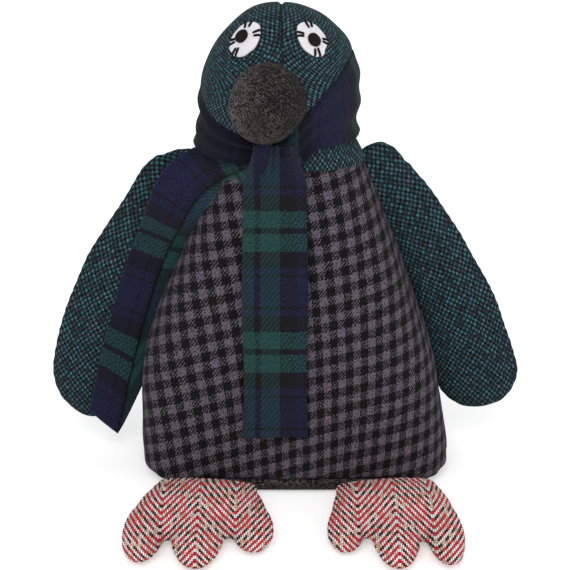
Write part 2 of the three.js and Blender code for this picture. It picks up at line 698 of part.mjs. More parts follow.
// The side tail lies over the shoulder and the left flipper, with its inner edge folded back
function sideTail() {
  const tilt = (t) => lerp(SIDE_TAIL_TILT, 0, smooth(t / 0.55))
  const spot = (v) => {
    const [x, z] = sideTailLine(v)
    const [nx, nz] = sideTailLine(v + 0.01)
    const run = Math.hypot(nx - x, nz - z)
    let rest = 0
    for (const near of [-0.05, 0, 0.05]) {
      rest += sideTailRest(clamp(v + near), tilt(v)) / 3
    }
    const stand = WRAP_THICKNESS * (1 - smooth(v / 0.25))
    return [x, rest - CLEARANCE - stand, z, -(nz - z) / run, (nx - x) / run]
  }
  const halfWidth = (v) => SIDE_TAIL_HALF_WIDTH * lerp(0.6, 1, smooth(v / 0.2))
  const bend = (side, v) => {
    const past = Math.max(0, side - SIDE_TAIL_FOLD) * SIDE_TAIL_HALF_WIDTH
    return past * SIDE_TAIL_FOLD_DEPTH * smooth(v / 0.3) - tilt(v) * side
  }
  return ribbon(spot, halfWidth, bend, 18)
}

// The scarf is one length of cloth, trimmed where it rests on the penguin
function scarf() {
  const cloth = scarfWrap().add(scarfKnot()).add(frontTail()).add(sideTail())
  return cloth
    .subtract(headSolid(CLEARANCE))
    .subtract(bodySolid(CLEARANCE))
    .subtract(beakSolid(CLEARANCE))
    .subtract(flipperSolid(LEFT_FLIPPER, CLEARANCE))
    .subtract(flipperSolid(RIGHT_FLIPPER, CLEARANCE))
}

function beak() {
  return beakSolid(0).subtract(headSolid(CLEARANCE))
}

// Keep the largest solid of a trimmed piece, without slivers
function whole(piece) {
  const parts = piece.decompose().sort((a, b) => b.volume() - a.volume())
  return parts[0].simplify(0.02)
}

// A named mesh with its own colour
function named(name, piece, color, roughness) {
  const mesh = whole(piece).getMesh()
  const geometry = new THREE.BufferGeometry()
  const positions = new Float32Array(mesh.vertProperties)
  geometry.setAttribute('position', new THREE.BufferAttribute(positions, 3))
  geometry.setIndex(new THREE.BufferAttribute(new Uint32Array(mesh.triVerts), 1))
  geometry.computeVertexNormals()
  const material = new THREE.MeshStandardMaterial({ color, roughness, metalness: 0 })
  const result = new THREE.Mesh(geometry, material)
  result.name = name
  return result
}

const CHECK_CLOTH = 0x3a3539
const TEAL_CLOTH = 0x1f5257
const CHARCOAL_CLOTH = 0x3f3634
const TWEED_CLOTH = 0x9c6f6c
const SCARF_COLOUR = 0x22384a
const WHITE_FELT = 0xe6e2dc
const BLACK_FELT = 0x141316
const STUFFING = 0xe8e6e0
const SACKING = 0xb09a72

const group = new THREE.Group()
group.name = 'weighted_fabric_door_stop'
group.add(
  named('belly_panel', bellyPanel(), CHECK_CLOTH, 0.9),
  named('back_panel', backPanel(), TEAL_CLOTH, 0.9),
  named('base_panel', basePanel(), CHARCOAL_CLOTH, 0.9),
  named('filling', filling(), STUFFING, 0.95),
  named('sand_bag', sandBagSolid(0), SACKING, 0.9),
  named('head_left', headHalf(-1), TEAL_CLOTH, 0.9),
  named('head_right', headHalf(1), TEAL_CLOTH, 0.9),
  named('beak', beak(), CHARCOAL_CLOTH, 0.9),
  named('eye_white_left', eyeWhite(-1), WHITE_FELT, 0.95),
  named('eye_white_right', eyeWhite(1), WHITE_FELT, 0.95),
  named('pupil_left', pupil(-1), BLACK_FELT, 0.95),
  named('pupil_right', pupil(1), BLACK_FELT, 0.95),
  named('flipper_left', flipper(LEFT_FLIPPER), TEAL_CLOTH, 0.9),
  named('flipper_right', flipper(RIGHT_FLIPPER), TEAL_CLOTH, 0.9),
  named('foot_left', foot(-1), TWEED_CLOTH, 0.9),
  named('foot_right', foot(1), TWEED_CLOTH, 0.9),
  named('scarf', scarf(), SCARF_COLOUR, 0.9),
)

export default group
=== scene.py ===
"""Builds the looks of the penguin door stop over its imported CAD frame. Metres, +Z up, face along -Y."""
import math

import bpy
import numpy as np
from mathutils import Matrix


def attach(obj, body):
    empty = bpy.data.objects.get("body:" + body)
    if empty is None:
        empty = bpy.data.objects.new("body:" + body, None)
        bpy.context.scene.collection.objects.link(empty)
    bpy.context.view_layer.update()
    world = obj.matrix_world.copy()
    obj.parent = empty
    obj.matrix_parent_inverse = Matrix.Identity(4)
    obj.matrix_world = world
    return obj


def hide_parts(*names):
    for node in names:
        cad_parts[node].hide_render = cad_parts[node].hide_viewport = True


bl_info = {
    "name": "Penguin door stop",
    "version": (1, 0, 0),
    "blender": (4, 5, 0),
    "location": "3D View > Sidebar > Penguin",
    "description": "Stuffed penguin door stop in tweed, check and tartan cloth",
    "category": "Add Mesh",
}

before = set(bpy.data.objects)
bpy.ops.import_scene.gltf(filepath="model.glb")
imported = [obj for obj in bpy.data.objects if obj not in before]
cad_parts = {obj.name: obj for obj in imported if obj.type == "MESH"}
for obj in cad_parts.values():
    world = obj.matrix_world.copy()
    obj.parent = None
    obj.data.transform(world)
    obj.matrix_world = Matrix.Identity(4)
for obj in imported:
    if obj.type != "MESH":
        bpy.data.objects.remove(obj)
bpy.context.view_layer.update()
MM = 0.001


# Sizes and colours that a user would change

def length(name, default, description):
    """A size in metres, given here in millimetres."""
    return bpy.props.FloatProperty(
        name=name, description=description, default=default * MM, unit="LENGTH", precision=4)


def number(name, default, description):
    """A plain number, such as a power or a share."""
    return bpy.props.FloatProperty(name=name, description=description, default=default)


def linear(*levels):
    """Screen levels from 0 to 255 as the linear light that a shader takes."""
    share = [level / 255 for level in levels]
    return tuple(s / 12.92 if s <= 0.04045 else ((s + 0.055) / 1.055) ** 2.4 for s in share)


def colour(name, levels, description):
    """A colour, given here in screen levels."""
    return bpy.props.FloatVectorProperty(
        name=name, description=description, default=linear(*levels), subtype="COLOR", size=3,
        min=0, max=1)


class PENGUIN_PG_body(bpy.types.PropertyGroup):
    hem: length("Hem height", 10, "Height of the seam between the base and the panels")
    shoulder: length("Shoulder height", 201, "Height of the top of the belly and back panels")
    half_width: length("Half width", 99.5, "Half width of the body at the hem")
    half_depth: length("Half depth", 65, "Half depth of the body at the hem")
    shoulder_half_width: length("Shoulder half width", 45, "Half width at the shoulders")
    shoulder_half_depth: length("Shoulder half depth", 43, "Half depth at the shoulders")
    shoulder_shift: length("Shoulder shift", -4, "How far the shoulders stand to one side")
    squareness: number("Squareness", 3.8, "Power of the rounded outline at the hem")
    shoulder_squareness: number("Shoulder squareness", 2.2, "Power of the outline at the shoulders")
    taper: number("Taper", 1.5, "Power of the curve from hem to shoulders")
    corner_drop: length("Corner drop", 6.5, "How much lower the hem is at the corners")
    flank: length("Flank", 8.5, "How far the left side is stuffed out at half height")
    base_turn: length("Base turn", 8, "How far the base cloth turns in under the body")
    cloth: length("Cloth", 2, "Thickness of the cover cloth")


class PENGUIN_PG_head(bpy.types.PropertyGroup):
    height: length("Height", 300, "Height of the crown above the floor")
    middle: length("Middle", 242, "Height of the widest level of the head")
    neck: length("Neck", 216, "Height where the neck starts to spread")
    half_width: length("Half width", 48, "Half width of the head")
    half_depth: length("Half depth", 47, "Half depth of the head")
    neck_half_width: length("Neck half width", 44, "Half width of the neck")
    neck_half_depth: length("Neck half depth", 42, "Half depth of the neck")
    shift: length("Shift", -10.7, "How far the head leans to one side")
    fuller: length("Fuller", 3.4, "How much the stuffing swells the right of the head")
    seam: length("Seam", -9, "Where the seam between the head's halves runs")


class PENGUIN_PG_beak(bpy.types.PropertyGroup):
    root: bpy.props.FloatVectorProperty(
        name="Root", description="Middle of the beak's root", subtype="XYZ", unit="LENGTH",
        default=(-0.0155, -0.034, 0.2472))
    aim: bpy.props.FloatVectorProperty(
        name="Aim", description="Way that the beak points", subtype="DIRECTION",
        default=(-0.19, -0.98, -0.01))
    reach: length("Reach", 49, "Length from the root to the tip")
    half_width: length("Half width", 22.8, "Half width at the root")
    half_height: length("Half height", 23.6, "Half height at the root")
    bulge: number("Bulge", 2.5, "Power that keeps the tip blunt")


class PENGUIN_PG_eyes(bpy.types.PropertyGroup):
    spread: length("Spread", 20, "How far each eye is from the middle of the head")
    height: length("Height", 282.5, "Height of the eyes above the floor")
    half_width: length("Half width", 9.6, "Half width of the white patch")
    half_length: length("Half length", 12, "Half length of the white patch")
    pupil_half_width: length("Pupil half width", 4.1, "Half width of the pupil")
    pupil_half_length: length("Pupil half length", 4.4, "Half length of the pupil")
    felt: length("Felt", 1.6, "Thickness of the felt")
    stitch: length("Stitch", 0.75, "Half thickness of the stitching thread")


class PENGUIN_PG_flippers(bpy.types.PropertyGroup):
    root_half_width: length("Root half width", 16, "Half width at the shoulder")
    half_width: length("Half width", 28.5, "Half width near the tip")
    root_half_thickness: length("Root half thickness", 6, "Half thickness at the shoulder")
    half_thickness: length("Half thickness", 9, "Half thickness near the tip")
    tip_round: number("Tip round", 0.14, "Share of the length that rounds off the tip")


class PENGUIN_PG_feet(bpy.types.PropertyGroup):
    spread: length("Spread", 58.5, "How far each foot is from the middle")
    toe_draw: length("Toe draw", 4, "How far the toes are drawn out beyond the solid foot")
    heel: length("Heel", -57, "Where the heels start")
    stitch_row: length("Stitch row", 4.1, "Height of one pair of stitch rows in the tweed")
    column: length("Column", 22, "Width of one column of the herringbone")


class PENGUIN_PG_scarf(bpy.types.PropertyGroup):
    lower_edge: length("Lower edge", 212, "Height of the wrap's lower edge")
    front_top: length("Front top", 227, "Height of the wrap's upper edge under the beak")
    right_rise: length("Right rise", 43, "How much higher the wrap is on the right")
    left_rise: length("Left rise", 24, "How much higher the wrap is on the left")
    roll: length("Roll", 8.5, "How far the lower edge rolls out over the left shoulder")
    thickness: length("Thickness", 4.6, "Thickness of the wrap")
    tail_half_width: length("Tail half width", 19.8, "Half width of the front tail")
    tail_end: length("Tail end", 40.5, "Height of the front tail's lower edge")
    side_half_width: length("Side half width", 16.5, "Half width of the side tail")
    repeat: length("Repeat", 79, "Length of one repeat of the tartan")
    cloth: length("Cloth", 3.2, "Thickness of the folded scarf cloth")


class PENGUIN_PG_cloths(bpy.types.PropertyGroup):
    check_light: colour("Check light", (108, 100, 111), "Light squares of the belly cloth")
    check_dark: colour("Check dark", (18, 15, 16), "Dark squares of the belly cloth")
    teal_bright: colour("Teal bright", (58, 124, 126), "Upright threads of the teal cloth")
    teal_blue: colour("Teal blue", (92, 112, 134), "Bluer threads among the upright ones")
    teal_wine: colour("Teal wine", (58, 26, 44), "Dark red threads deep in the teal cloth")
    teal_deep: colour("Teal deep", (36, 64, 72), "Level threads of the teal cloth")
    teal_ground: colour("Teal ground", (15, 13, 17), "Dark threads of the teal cloth")
    charcoal: colour("Charcoal", (40, 35, 37), "Beak and base cloth")
    charcoal_fleck: colour("Charcoal fleck", (174, 161, 161), "Pale flecks of the beak cloth")
    tweed_white: colour("Tweed white", (252, 244, 240), "White wool of the feet")
    tweed_red: colour("Tweed red", (226, 34, 62), "Red wool of the feet")
    tweed_black: colour("Tweed black", (52, 36, 40), "Black wool of the feet")
    tweed_pink: colour("Tweed pink", (244, 206, 202), "Pink wool of the feet")
    # The ground wool between the stitches of the feet, darkened with painted shade.
    tweed_ground_in_shade: colour("Tweed gap", (128, 62, 62), "Depth between the stitches of the feet")
    tweed_tan: colour("Tweed tan", (232, 190, 162), "Tan wool of the feet")
    tartan_blue: colour("Tartan blue", (31, 33, 60), "Blue of the scarf")
    tartan_green: colour("Tartan green", (37, 70, 68), "Green of the scarf")
    tartan_black: colour("Tartan black", (26, 24, 29), "Black of the scarf")
    felt_white: colour("Felt white", (238, 236, 240), "White felt of the eyes")
    felt_black: colour("Felt black", (30, 26, 26), "Black felt of the pupils")


class PENGUIN_PG_studio(bpy.types.PropertyGroup):
    floor: colour("Floor", (250, 250, 250), "Colour of the floor")
    world: number("World light", 0.55, "Strength of the even light from all round")
    key: number("Key light", 15, "Power of the main lamp in watts")
    fill: number("Fill light", 3.5, "Power of each of the two weaker lamps in watts")


# Shapes worked out as whole arrays

def lerp(a, b, t):
    """The value a share t of the way from a to b."""
    return a + (b - a) * t


def smooth(t):
    """An even start and stop between 0 and 1."""
    t = np.clip(t, 0, 1)
    return t * t * (3 - 2 * t)


def dome(t):
    """The height of a quarter circle: 1 at t = 0 and 0 at t = 1."""
    return np.sqrt(np.clip(1 - t * t, 0, 1))


def puff(distance, width):
    """How full a stuffed edge is: 0 on the seam, and 1 from the width inwards, on a quarter circle."""
    return dome(1 - np.clip(distance / width, 0, 1))


def bell(distance, width):
    """1 at no distance, and less on both sides of it along a bell curve."""
    return np.exp(-(distance / width) ** 2)


def fade(distance, width):
    """1 at no distance, and about a third of that for each width away."""
    return np.exp(-distance / width)


def stack(*parts):
    """One array of points, or of cloth coordinates, from its parts."""
    return np.stack(np.broadcast_arrays(*parts), axis=-1)


def around(count):
    """Even turns round a circle, without the last one, which would be the first again."""
    return np.linspace(0, 2 * math.pi, count + 1)[:-1]


def closed(grid, step=0):
    """A grid with its first column again at its end, greater by the step."""
    return np.concatenate([grid, grid[:, :1] + step], axis=1)


def lumps(points, size, seed):
    """Uneven stuffing between about -1 and 1: seven sine waves of about one length, in seeded directions."""
    pick = np.random.default_rng(seed)
    total = np.zeros(points.shape[:-1])
    for _ in range(7):
        way = pick.normal(size=3)
        way *= 2 * math.pi / (size * pick.uniform(0.7, 1.5) * np.linalg.norm(way))
        total += np.sin(points @ way + pick.uniform(0, 2 * math.pi))
    return total / 3.5


def stuffing(points, coarse, fine, seed):
    """Coarse lumps with fine ones on them. Each kind is given as its size and height in millimetres."""
    return (lumps(points, coarse[0] * MM, seed) * coarse[1] * MM
            + lumps(points, fine[0] * MM, seed + 1) * fine[1] * MM)


def normals(points, outside):
    """Unit normals of a grid, from the cross product of its two slopes, turned towards outside."""
    down = np.gradient(points, axis=0)
    across = np.gradient(points, axis=1)
    normal = np.cross(down, across)
    normal /= np.maximum(np.linalg.norm(normal, axis=-1, keepdims=True), 1e-12)
    side = np.sign(np.sum(normal * outside, axis=-1, keepdims=True))
    return normal * np.where(side == 0, 1, side)


def swell(points, outside, amount):
    """Moves each point of a grid along its normal."""
    return points + normals(points, outside) * amount[..., None]


def along_arc(points, axis):
    """Length of the grid's lines from their first point, added up step by step."""
    step = np.linalg.norm(np.diff(points, axis=axis), axis=-1)
    first = np.zeros_like(np.take(step, [0], axis=axis))
    return np.concatenate([first, np.cumsum(step, axis=axis)], axis=axis)


class Skin:
    """Collects grids of points into one closed mesh with a cloth coordinate at every face corner."""

    def __init__(self):
        self.points, self.rings, self.count = [], [], 0

    def add(self, points, cloth):
        """Adds a grid that is closed all round: its last column joins its first, and each of its end rows
        closes to a point."""
        rows, columns = points.shape[:2]
        ids = np.arange(rows * columns).reshape(rows, columns)
        ids[0], ids[-1] = ids[0, 0], ids[-1, 0]
        self.keep(points, [(closed(ids), cloth)])

    def pillow(self, front, back, cloth, wrap=False):
        """Adds two grids that share their edge, as the two faces of a sheet."""
        rows, columns = front.shape[:2]
        ids = np.arange(rows * columns).reshape(rows, columns)
        rear = ids + rows * columns
        rear[0], rear[-1] = ids[0], ids[-1]
        if wrap:
            ids, rear = closed(ids), closed(rear)
        else:
            rear[:, 0], rear[:, -1] = ids[:, 0], ids[:, -1]
        self.keep(np.concatenate([front, back]), [(ids, cloth), (rear[:, ::-1], cloth[:, ::-1])])

    def keep(self, points, grids):
        """Turns grids of point numbers into faces that point outwards, by the sign of their volume."""
        points = points.reshape(-1, 3)
        faces, corners = [], []
        for ids, cloth in grids:
            quad = np.stack([ids[:-1, :-1], ids[:-1, 1:], ids[1:, 1:], ids[1:, :-1]], axis=-1)
            value = np.stack([cloth[:-1, :-1], cloth[:-1, 1:], cloth[1:, 1:], cloth[1:, :-1]], axis=2)
            faces.append(quad.reshape(-1, 4))
            corners.append(value.reshape(-1, 4, 3))
        faces, corners = np.concatenate(faces), np.concatenate(corners)
        middle = points[faces].mean(axis=(0, 1))
        a, b, c, d = (points[faces[:, i]] - middle for i in range(4))
        volume = np.sum(a * np.cross(b, c)) + np.sum(a * np.cross(c, d))
        if volume < 0:
            faces, corners = faces[:, ::-1], corners[:, ::-1]
        used, flat = np.unique(faces, return_inverse=True)
        self.points.append(points[used])
        self.rings.append((flat.reshape(faces.shape) + self.count, corners))
        self.count += len(used)

    def finish(self, name, material):
        """Writes the mesh: four-cornered faces, and three-cornered ones where two corners are one point."""
        faces = np.concatenate([ring[0] for ring in self.rings])
        corners = np.concatenate([ring[1] for ring in self.rings])
        fresh = faces != np.roll(faces, -1, axis=1)
        sides = fresh.sum(axis=1)
        faces, fresh, corners, sides = (part[sides > 2] for part in (faces, fresh, corners, sides))
        mesh = bpy.data.meshes.new(name)
        mesh.vertices.add(self.count)
        mesh.vertices.foreach_set("co", np.concatenate(self.points).astype(np.float32).ravel())
        mesh.loops.add(int(sides.sum()))
        mesh.loops.foreach_set("vertex_index", faces[fresh].astype(np.int32))
        mesh.polygons.add(len(sides))
        starts = np.concatenate([[0], np.cumsum(sides)[:-1]])
        mesh.polygons.foreach_set("loop_start", starts.astype(np.int32))
        mesh.polygons.foreach_set("use_smooth", np.ones(len(sides), dtype=bool))
        mesh.update(calc_edges=True)
        layer = mesh.attributes.new("cloth", "FLOAT_VECTOR", "CORNER")
        layer.data.foreach_set("vector", corners[fresh].astype(np.float32).ravel())
        if mesh.validate():
            raise RuntimeError(name + " has faces that don't hold together")
        return place(bpy.data.objects.new(name, mesh), material)


def place(piece, material):
    """Links a piece, gives it its finish and lets it ride on the one body."""
    bpy.context.scene.collection.objects.link(piece)
    piece.data.materials.clear()
    piece.data.materials.append(material)
    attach(piece, "root")
    return piece


def corner_angle(turn, body):
    """Angle round the body whose points crowd at the rounded corners of the outline."""
    bend = 2 / ((body.squareness + body.shoulder_squareness) / 2)
    x = body.half_width * np.sign(np.cos(turn)) * np.abs(np.cos(turn)) ** bend
    y = body.half_depth * np.sign(np.sin(turn)) * np.abs(np.sin(turn)) ** bend
    return np.unwrap(np.arctan2(y, x))


def body_section(z, body):
    """Shift, half width, half depth and power of the body's level outline at a height."""
    up = np.clip((z - body.hem) / (body.shoulder - body.hem), 0, 1)
    taper = up ** body.taper
    turn = body.base_turn * (1 - dome(np.clip((body.hem - z) / body.hem, 0, 1)))
    return (body.shoulder_shift * taper,
            lerp(body.half_width, body.shoulder_half_width, taper) - turn,
            lerp(body.half_depth, body.shoulder_half_depth, taper) - turn,
            lerp(body.squareness, body.shoulder_squareness, up))


def flank(points, z, body):
    """How far the left side is stuffed out at half height and drawn in at the hem, as a shift in x."""
    side_from, side_run = 0.35, 0.5
    fullest, reach = 82 * MM, 48 * MM
    drawn_below, drawn_run, draw = 24 * MM, 20 * MM, 0.18 * body.corner_drop
    left = smooth((-points[..., 0] / body.half_width - side_from) / side_run)
    drawn = draw * smooth((drawn_below - z) / drawn_run)
    return left * (drawn - body.flank * bell(z - fullest, reach))


def head_section(z, body, head):
    """The same for the head: a dome on a neck that spreads to the shoulders, fuller on its right."""
    spread = 1 - smooth((z - body.shoulder) / (head.neck - body.shoulder))
    rise = smooth((z - head.neck) / (head.middle - head.neck))
    cap = dome(np.clip((z - head.middle) / (head.height - head.middle), 0, 1))
    width = lerp(lerp(head.neck_half_width, head.half_width, rise), body.shoulder_half_width, spread)
    depth = lerp(lerp(head.neck_half_depth, head.half_depth, rise), body.shoulder_half_depth, spread)
    brow, nape = head.middle + 32 * MM, head.neck - 3 * MM
    fuller = head.fuller * (bell(z - brow, 9 * MM) + 1.3 * bell(z - nape, 10 * MM)) / 2
    return (lerp(head.shift, body.shoulder_shift, spread) + fuller, width * cap + fuller, depth * cap,
            lerp(2, body.shoulder_squareness, spread))


def on_section(section, angle, z, grow=0.0):
    """Point of a level outline at an angle: a superellipse, moved out by an allowance."""
    shift, width, depth, power = section
    sideways = np.abs(np.cos(angle) / (width + grow)) ** power
    ahead = np.abs(np.sin(angle) / (depth + grow)) ** power
    radius = (sideways + ahead) ** (-1 / power)
    return stack(shift + radius * np.cos(angle), radius * np.sin(angle), z)


def section_front(section, x):
    """How far forward a level outline is at a given x; far behind where x is beside it."""
    shift, width, depth, power = section
    across = np.abs(x - shift) / width
    return np.where(across < 1, -depth * np.clip(1 - across ** power, 0, 1) ** (1 / power), 1.0)


# Finishes

def operation(kind, swapped=False):
    """A Python operator that adds one Math node."""
    def method(self, other):
        pair = (other, self) if swapped else (self, other)
        return self.finish.node("ShaderNodeMath", {"operation": kind}, dict(enumerate(pair)))
    return method


class Wire:
    """An output socket. Sums, products and comparisons of values with it add their Math nodes."""

    def __init__(self, finish, socket):
        self.finish, self.socket = finish, socket

    __add__ = __radd__ = operation("ADD")
    __sub__, __rsub__ = operation("SUBTRACT"), operation("SUBTRACT", True)
    __mul__ = __rmul__ = operation("MULTIPLY")
    __truediv__, __rtruediv__ = operation("DIVIDE"), operation("DIVIDE", True)
    __lt__, __gt__ = operation("LESS_THAN"), operation("GREATER_THAN")
    __pow__ = operation("POWER")
    least, most = operation("MINIMUM"), operation("MAXIMUM")

    def apply(self, kind):
        """A Math node that takes this value alone."""
        return self.finish.node("ShaderNodeMath", {"operation": kind}, {0: self})

    def fract(self):
        """The part after the point."""
        return self.apply("FRACT")

    def floor(self):
        """The whole number below."""
        return self.apply("FLOOR")

    def off_middle(self):
        """Distance of the fraction from one half: 0 in the middle of each unit, 0.5 at its ends."""
        return (self.fract() - 0.5).apply("ABSOLUTE")

    def pick(self, yes, no):
        """yes where this is 1 and no where it is 0."""
        return self * yes + (1 - self) * no

    def other(self, name):
        """Another output of the same node."""
        return Wire(self.finish, self.socket.node.outputs[name])


class Finish:
    """A material: node() adds any node, and gives its output as a Wire."""

    def __init__(self, name):
        self.material = bpy.data.materials.new("soft_" + name)
        self.material.use_nodes = True
        self.tree = self.material.node_tree
        self.tree.nodes.clear()

    def node(self, kind, settings=None, inputs=None, output=0):
        """Adds a node with its own settings, and fills each input with a value or links it to a Wire."""
        made = self.tree.nodes.new(kind)
        for key, value in (settings or {}).items():
            if key == "stops":
                self.set_stops(made.color_ramp, value)
            else:
                setattr(made, key, value)
        for key, value in (inputs or {}).items():
            if isinstance(value, Wire):
                self.tree.links.new(value.socket, made.inputs[key])
            else:
                made.inputs[key].default_value = value
        return Wire(self, made.outputs[output]) if len(made.outputs) else None

    def set_stops(self, ramp, stops):
        """Bands of one colour each. A stop is the place where its band starts, and the band's colour."""
        ramp.interpolation = "CONSTANT"
        while len(ramp.elements) < len(stops):
            ramp.elements.new(0.5)
        for element, (spot, shade) in zip(ramp.elements, stops):
            element.position = spot
            element.color = (*shade, 1)

    def cloth(self):
        """The piece's own cloth coordinate: across, along and a third value that darkens the cloth, mostly as
        painted shade, and as painted light where it is below zero.
        """
        spot = self.node("ShaderNodeAttribute", {"attribute_name": "cloth"}, None, "Vector")
        parts = self.node("ShaderNodeSeparateXYZ", None, {0: spot})
        return parts, parts.other("Y"), parts.other("Z")

    def vector(self, x, y, z=0.0):
        """A vector of three values."""
        return self.node("ShaderNodeCombineXYZ", None, {0: x, 1: y, 2: z})

    def noise(self, vector, scale, detail=2.0):
        """Cloudy noise between 0 and 1 with its middle near 0.5."""
        return self.node("ShaderNodeTexNoise", None,
                         {"Vector": vector, "Scale": scale, "Detail": detail}, "Fac")

    def chance(self, vector):
        """One even random number for each value of a vector."""
        return self.node("ShaderNodeTexWhiteNoise", {"noise_dimensions": "3D"}, {"Vector": vector}, "Value")

    def blend(self, first, second, share, kind="MIX"):
        """Mixes two colours by a share of the second."""
        first, second = (c if isinstance(c, Wire) else (*c, 1) for c in (first, second))
        return self.node("ShaderNodeMix", {"data_type": "RGBA", "blend_type": kind},
                         {0: share, 6: first, 7: second}, 2)

    def shade(self, colour, level):
        """Multiplies a colour by a value."""
        grey = self.vector(level, level, level)
        return self.blend(colour, grey, 1.0, "MULTIPLY")

    def cloth_surface(self, colour, height, depth, sheen=0.02):
        """Woven cloth: a rough shader with a bump from the height, and a little sheen."""
        bump = self.node("ShaderNodeBump", None,
                         {"Height": height, "Strength": 1.0, "Distance": depth})
        shader = self.node("ShaderNodeBsdfPrincipled", None, {
            "Base Color": colour, "Roughness": 0.95, "Normal": bump,
            "Specular IOR Level": 0.1, "Sheen Weight": sheen, "Sheen Roughness": 0.6})
        self.node("ShaderNodeOutputMaterial", None, {"Surface": shader})
        return self.material


def check_cloth(cloths):
    """Brushed wool check. The cloth coordinate counts squares, with light ones at whole numbers.

    A square is light where both of its threads are, and where only one of them is, a slanted twill shows
    the light thread on some lines.
    """
    f = Finish("check_cloth")
    i, j, dark = f.cloth()
    spot = f.vector(i, j)
    fray, twill_across, twill_up = 0.22, 4.2, 4.6
    fuzz = f.noise(spot, 5.0, 4.0)
    grain = f.noise(spot, 11.0, 1.0)
    warp = (i + 0.25 + (fuzz - 0.5) * fray).fract() < 0.5
    weft = (j + 0.25 + (grain - 0.5) * fray).fract() < 0.5
    phase = (i * twill_across + j * twill_up + (grain - 0.5) * 1.4).fract()
    warp_only, weft_only = phase < 0.40, phase > 0.62
    light = warp * weft * (1 - warp_only - weft_only) + warp_only * warp + weft_only * weft
    threads = (grain - 0.5) * 3.0 + (fuzz - 0.5) * 1.4
    share = light * (0.72 + threads * 0.95) + (1 - light) * (threads * 0.12)
    # The third value is painted shade beside the belly's seams.
    share = share.most(0.0).least(1.35) * (1 - dark)
    tone = f.blend(cloths.check_dark, cloths.check_light, share)
    return f.cloth_surface(tone, grain * 0.7 + light * 0.3, 0.7 * MM)


def teal_cloth(cloths):
    """Hopsack in millimetres: thick upright teal threads show in every other cell, level ones between.

    Some upright threads are bluer, and the ground has dark red specks.
    """
    f = Finish("teal_cloth")
    across, along, dark = f.cloth()
    thread_width, thread_height, speck_size = 1.7, 2.15, 0.85
    spot = f.vector(across, along)
    drift = (f.noise(spot, 0.16, 2.0) - 0.5) * 2.2
    a, b = (across + drift) / thread_width, (along - drift) / thread_height
    column, row = a.floor(), b.floor()
    odd = ((column + row) * 0.5).fract() > 0.25
    luck = f.chance(f.vector(column, row))
    luck_blue = f.chance(f.vector(column, row, 5.0))
    speck = f.chance(f.vector((across / speck_size).floor(), (along / speck_size).floor(), 9.0))
    hair = (f.noise(spot, 1.1, 3.0) - 0.5) * 1.7 + 0.5
    upright = (a.off_middle() < 0.41) * (b.off_middle() < 0.45)
    level = ((b * 2).off_middle() < 0.28) * (a.off_middle() < 0.45)
    bright = (1 - odd) * upright * (0.22 + luck * 0.78)
    deep = odd * level * (0.15 + luck * 0.6)
    thread = f.blend(cloths.teal_bright, cloths.teal_blue, luck_blue * luck_blue)
    tone = f.blend(cloths.teal_ground, cloths.teal_wine, speck * speck * speck)
    tone = f.blend(tone, cloths.teal_deep, deep)
    tone = f.blend(tone, thread, bright)
    # The third value darkens the cloth: painted shade along the seams of the back, the head and the flippers,
    # and an even darkening of the flippers.
    tone = f.shade(tone, (0.45 + hair * 1.1) * (1 - dark))
    rise = (1 - odd) * upright + odd * level * 0.7 + hair * 0.3
    return f.cloth_surface(tone, rise, 0.6 * MM)


def charcoal_cloth(cloths):
    """Salt-and-pepper wool in millimetres: dark threads with a scatter of pale flecks."""
    f = Finish("charcoal_cloth")
    across, along, dark = f.cloth()
    spot = f.vector(across, along)
    fleck_width, fleck_height = 1.15, 0.95
    row = along / fleck_height
    place_in_row = across / fleck_width + f.chance(row.floor()) * 7.0
    fleck = f.chance(f.vector(place_in_row.floor(), row.floor()))
    dash = (place_in_row.off_middle() < 0.36) * (row.off_middle() < 0.34)
    hair = f.noise(spot, 1.5, 3.0)
    cloud = f.noise(spot, 0.09, 2.0)
    # The third value darkens the cloth and hides its flecks: painted shade on the beak, and an even darkening
    # of the base.
    pale = dash * (fleck > 0.4) * (fleck + cloud * 0.9 - 0.45 - dark * 1.4).most(0.0)
    tone = f.blend(cloths.charcoal, cloths.charcoal_fleck, pale.least(1.0))
    tone = f.shade(tone, (0.47 + hair * 0.75) * (1 - dark))
    return f.cloth_surface(tone, dash * 0.8 + hair * 0.6, 0.5 * MM)


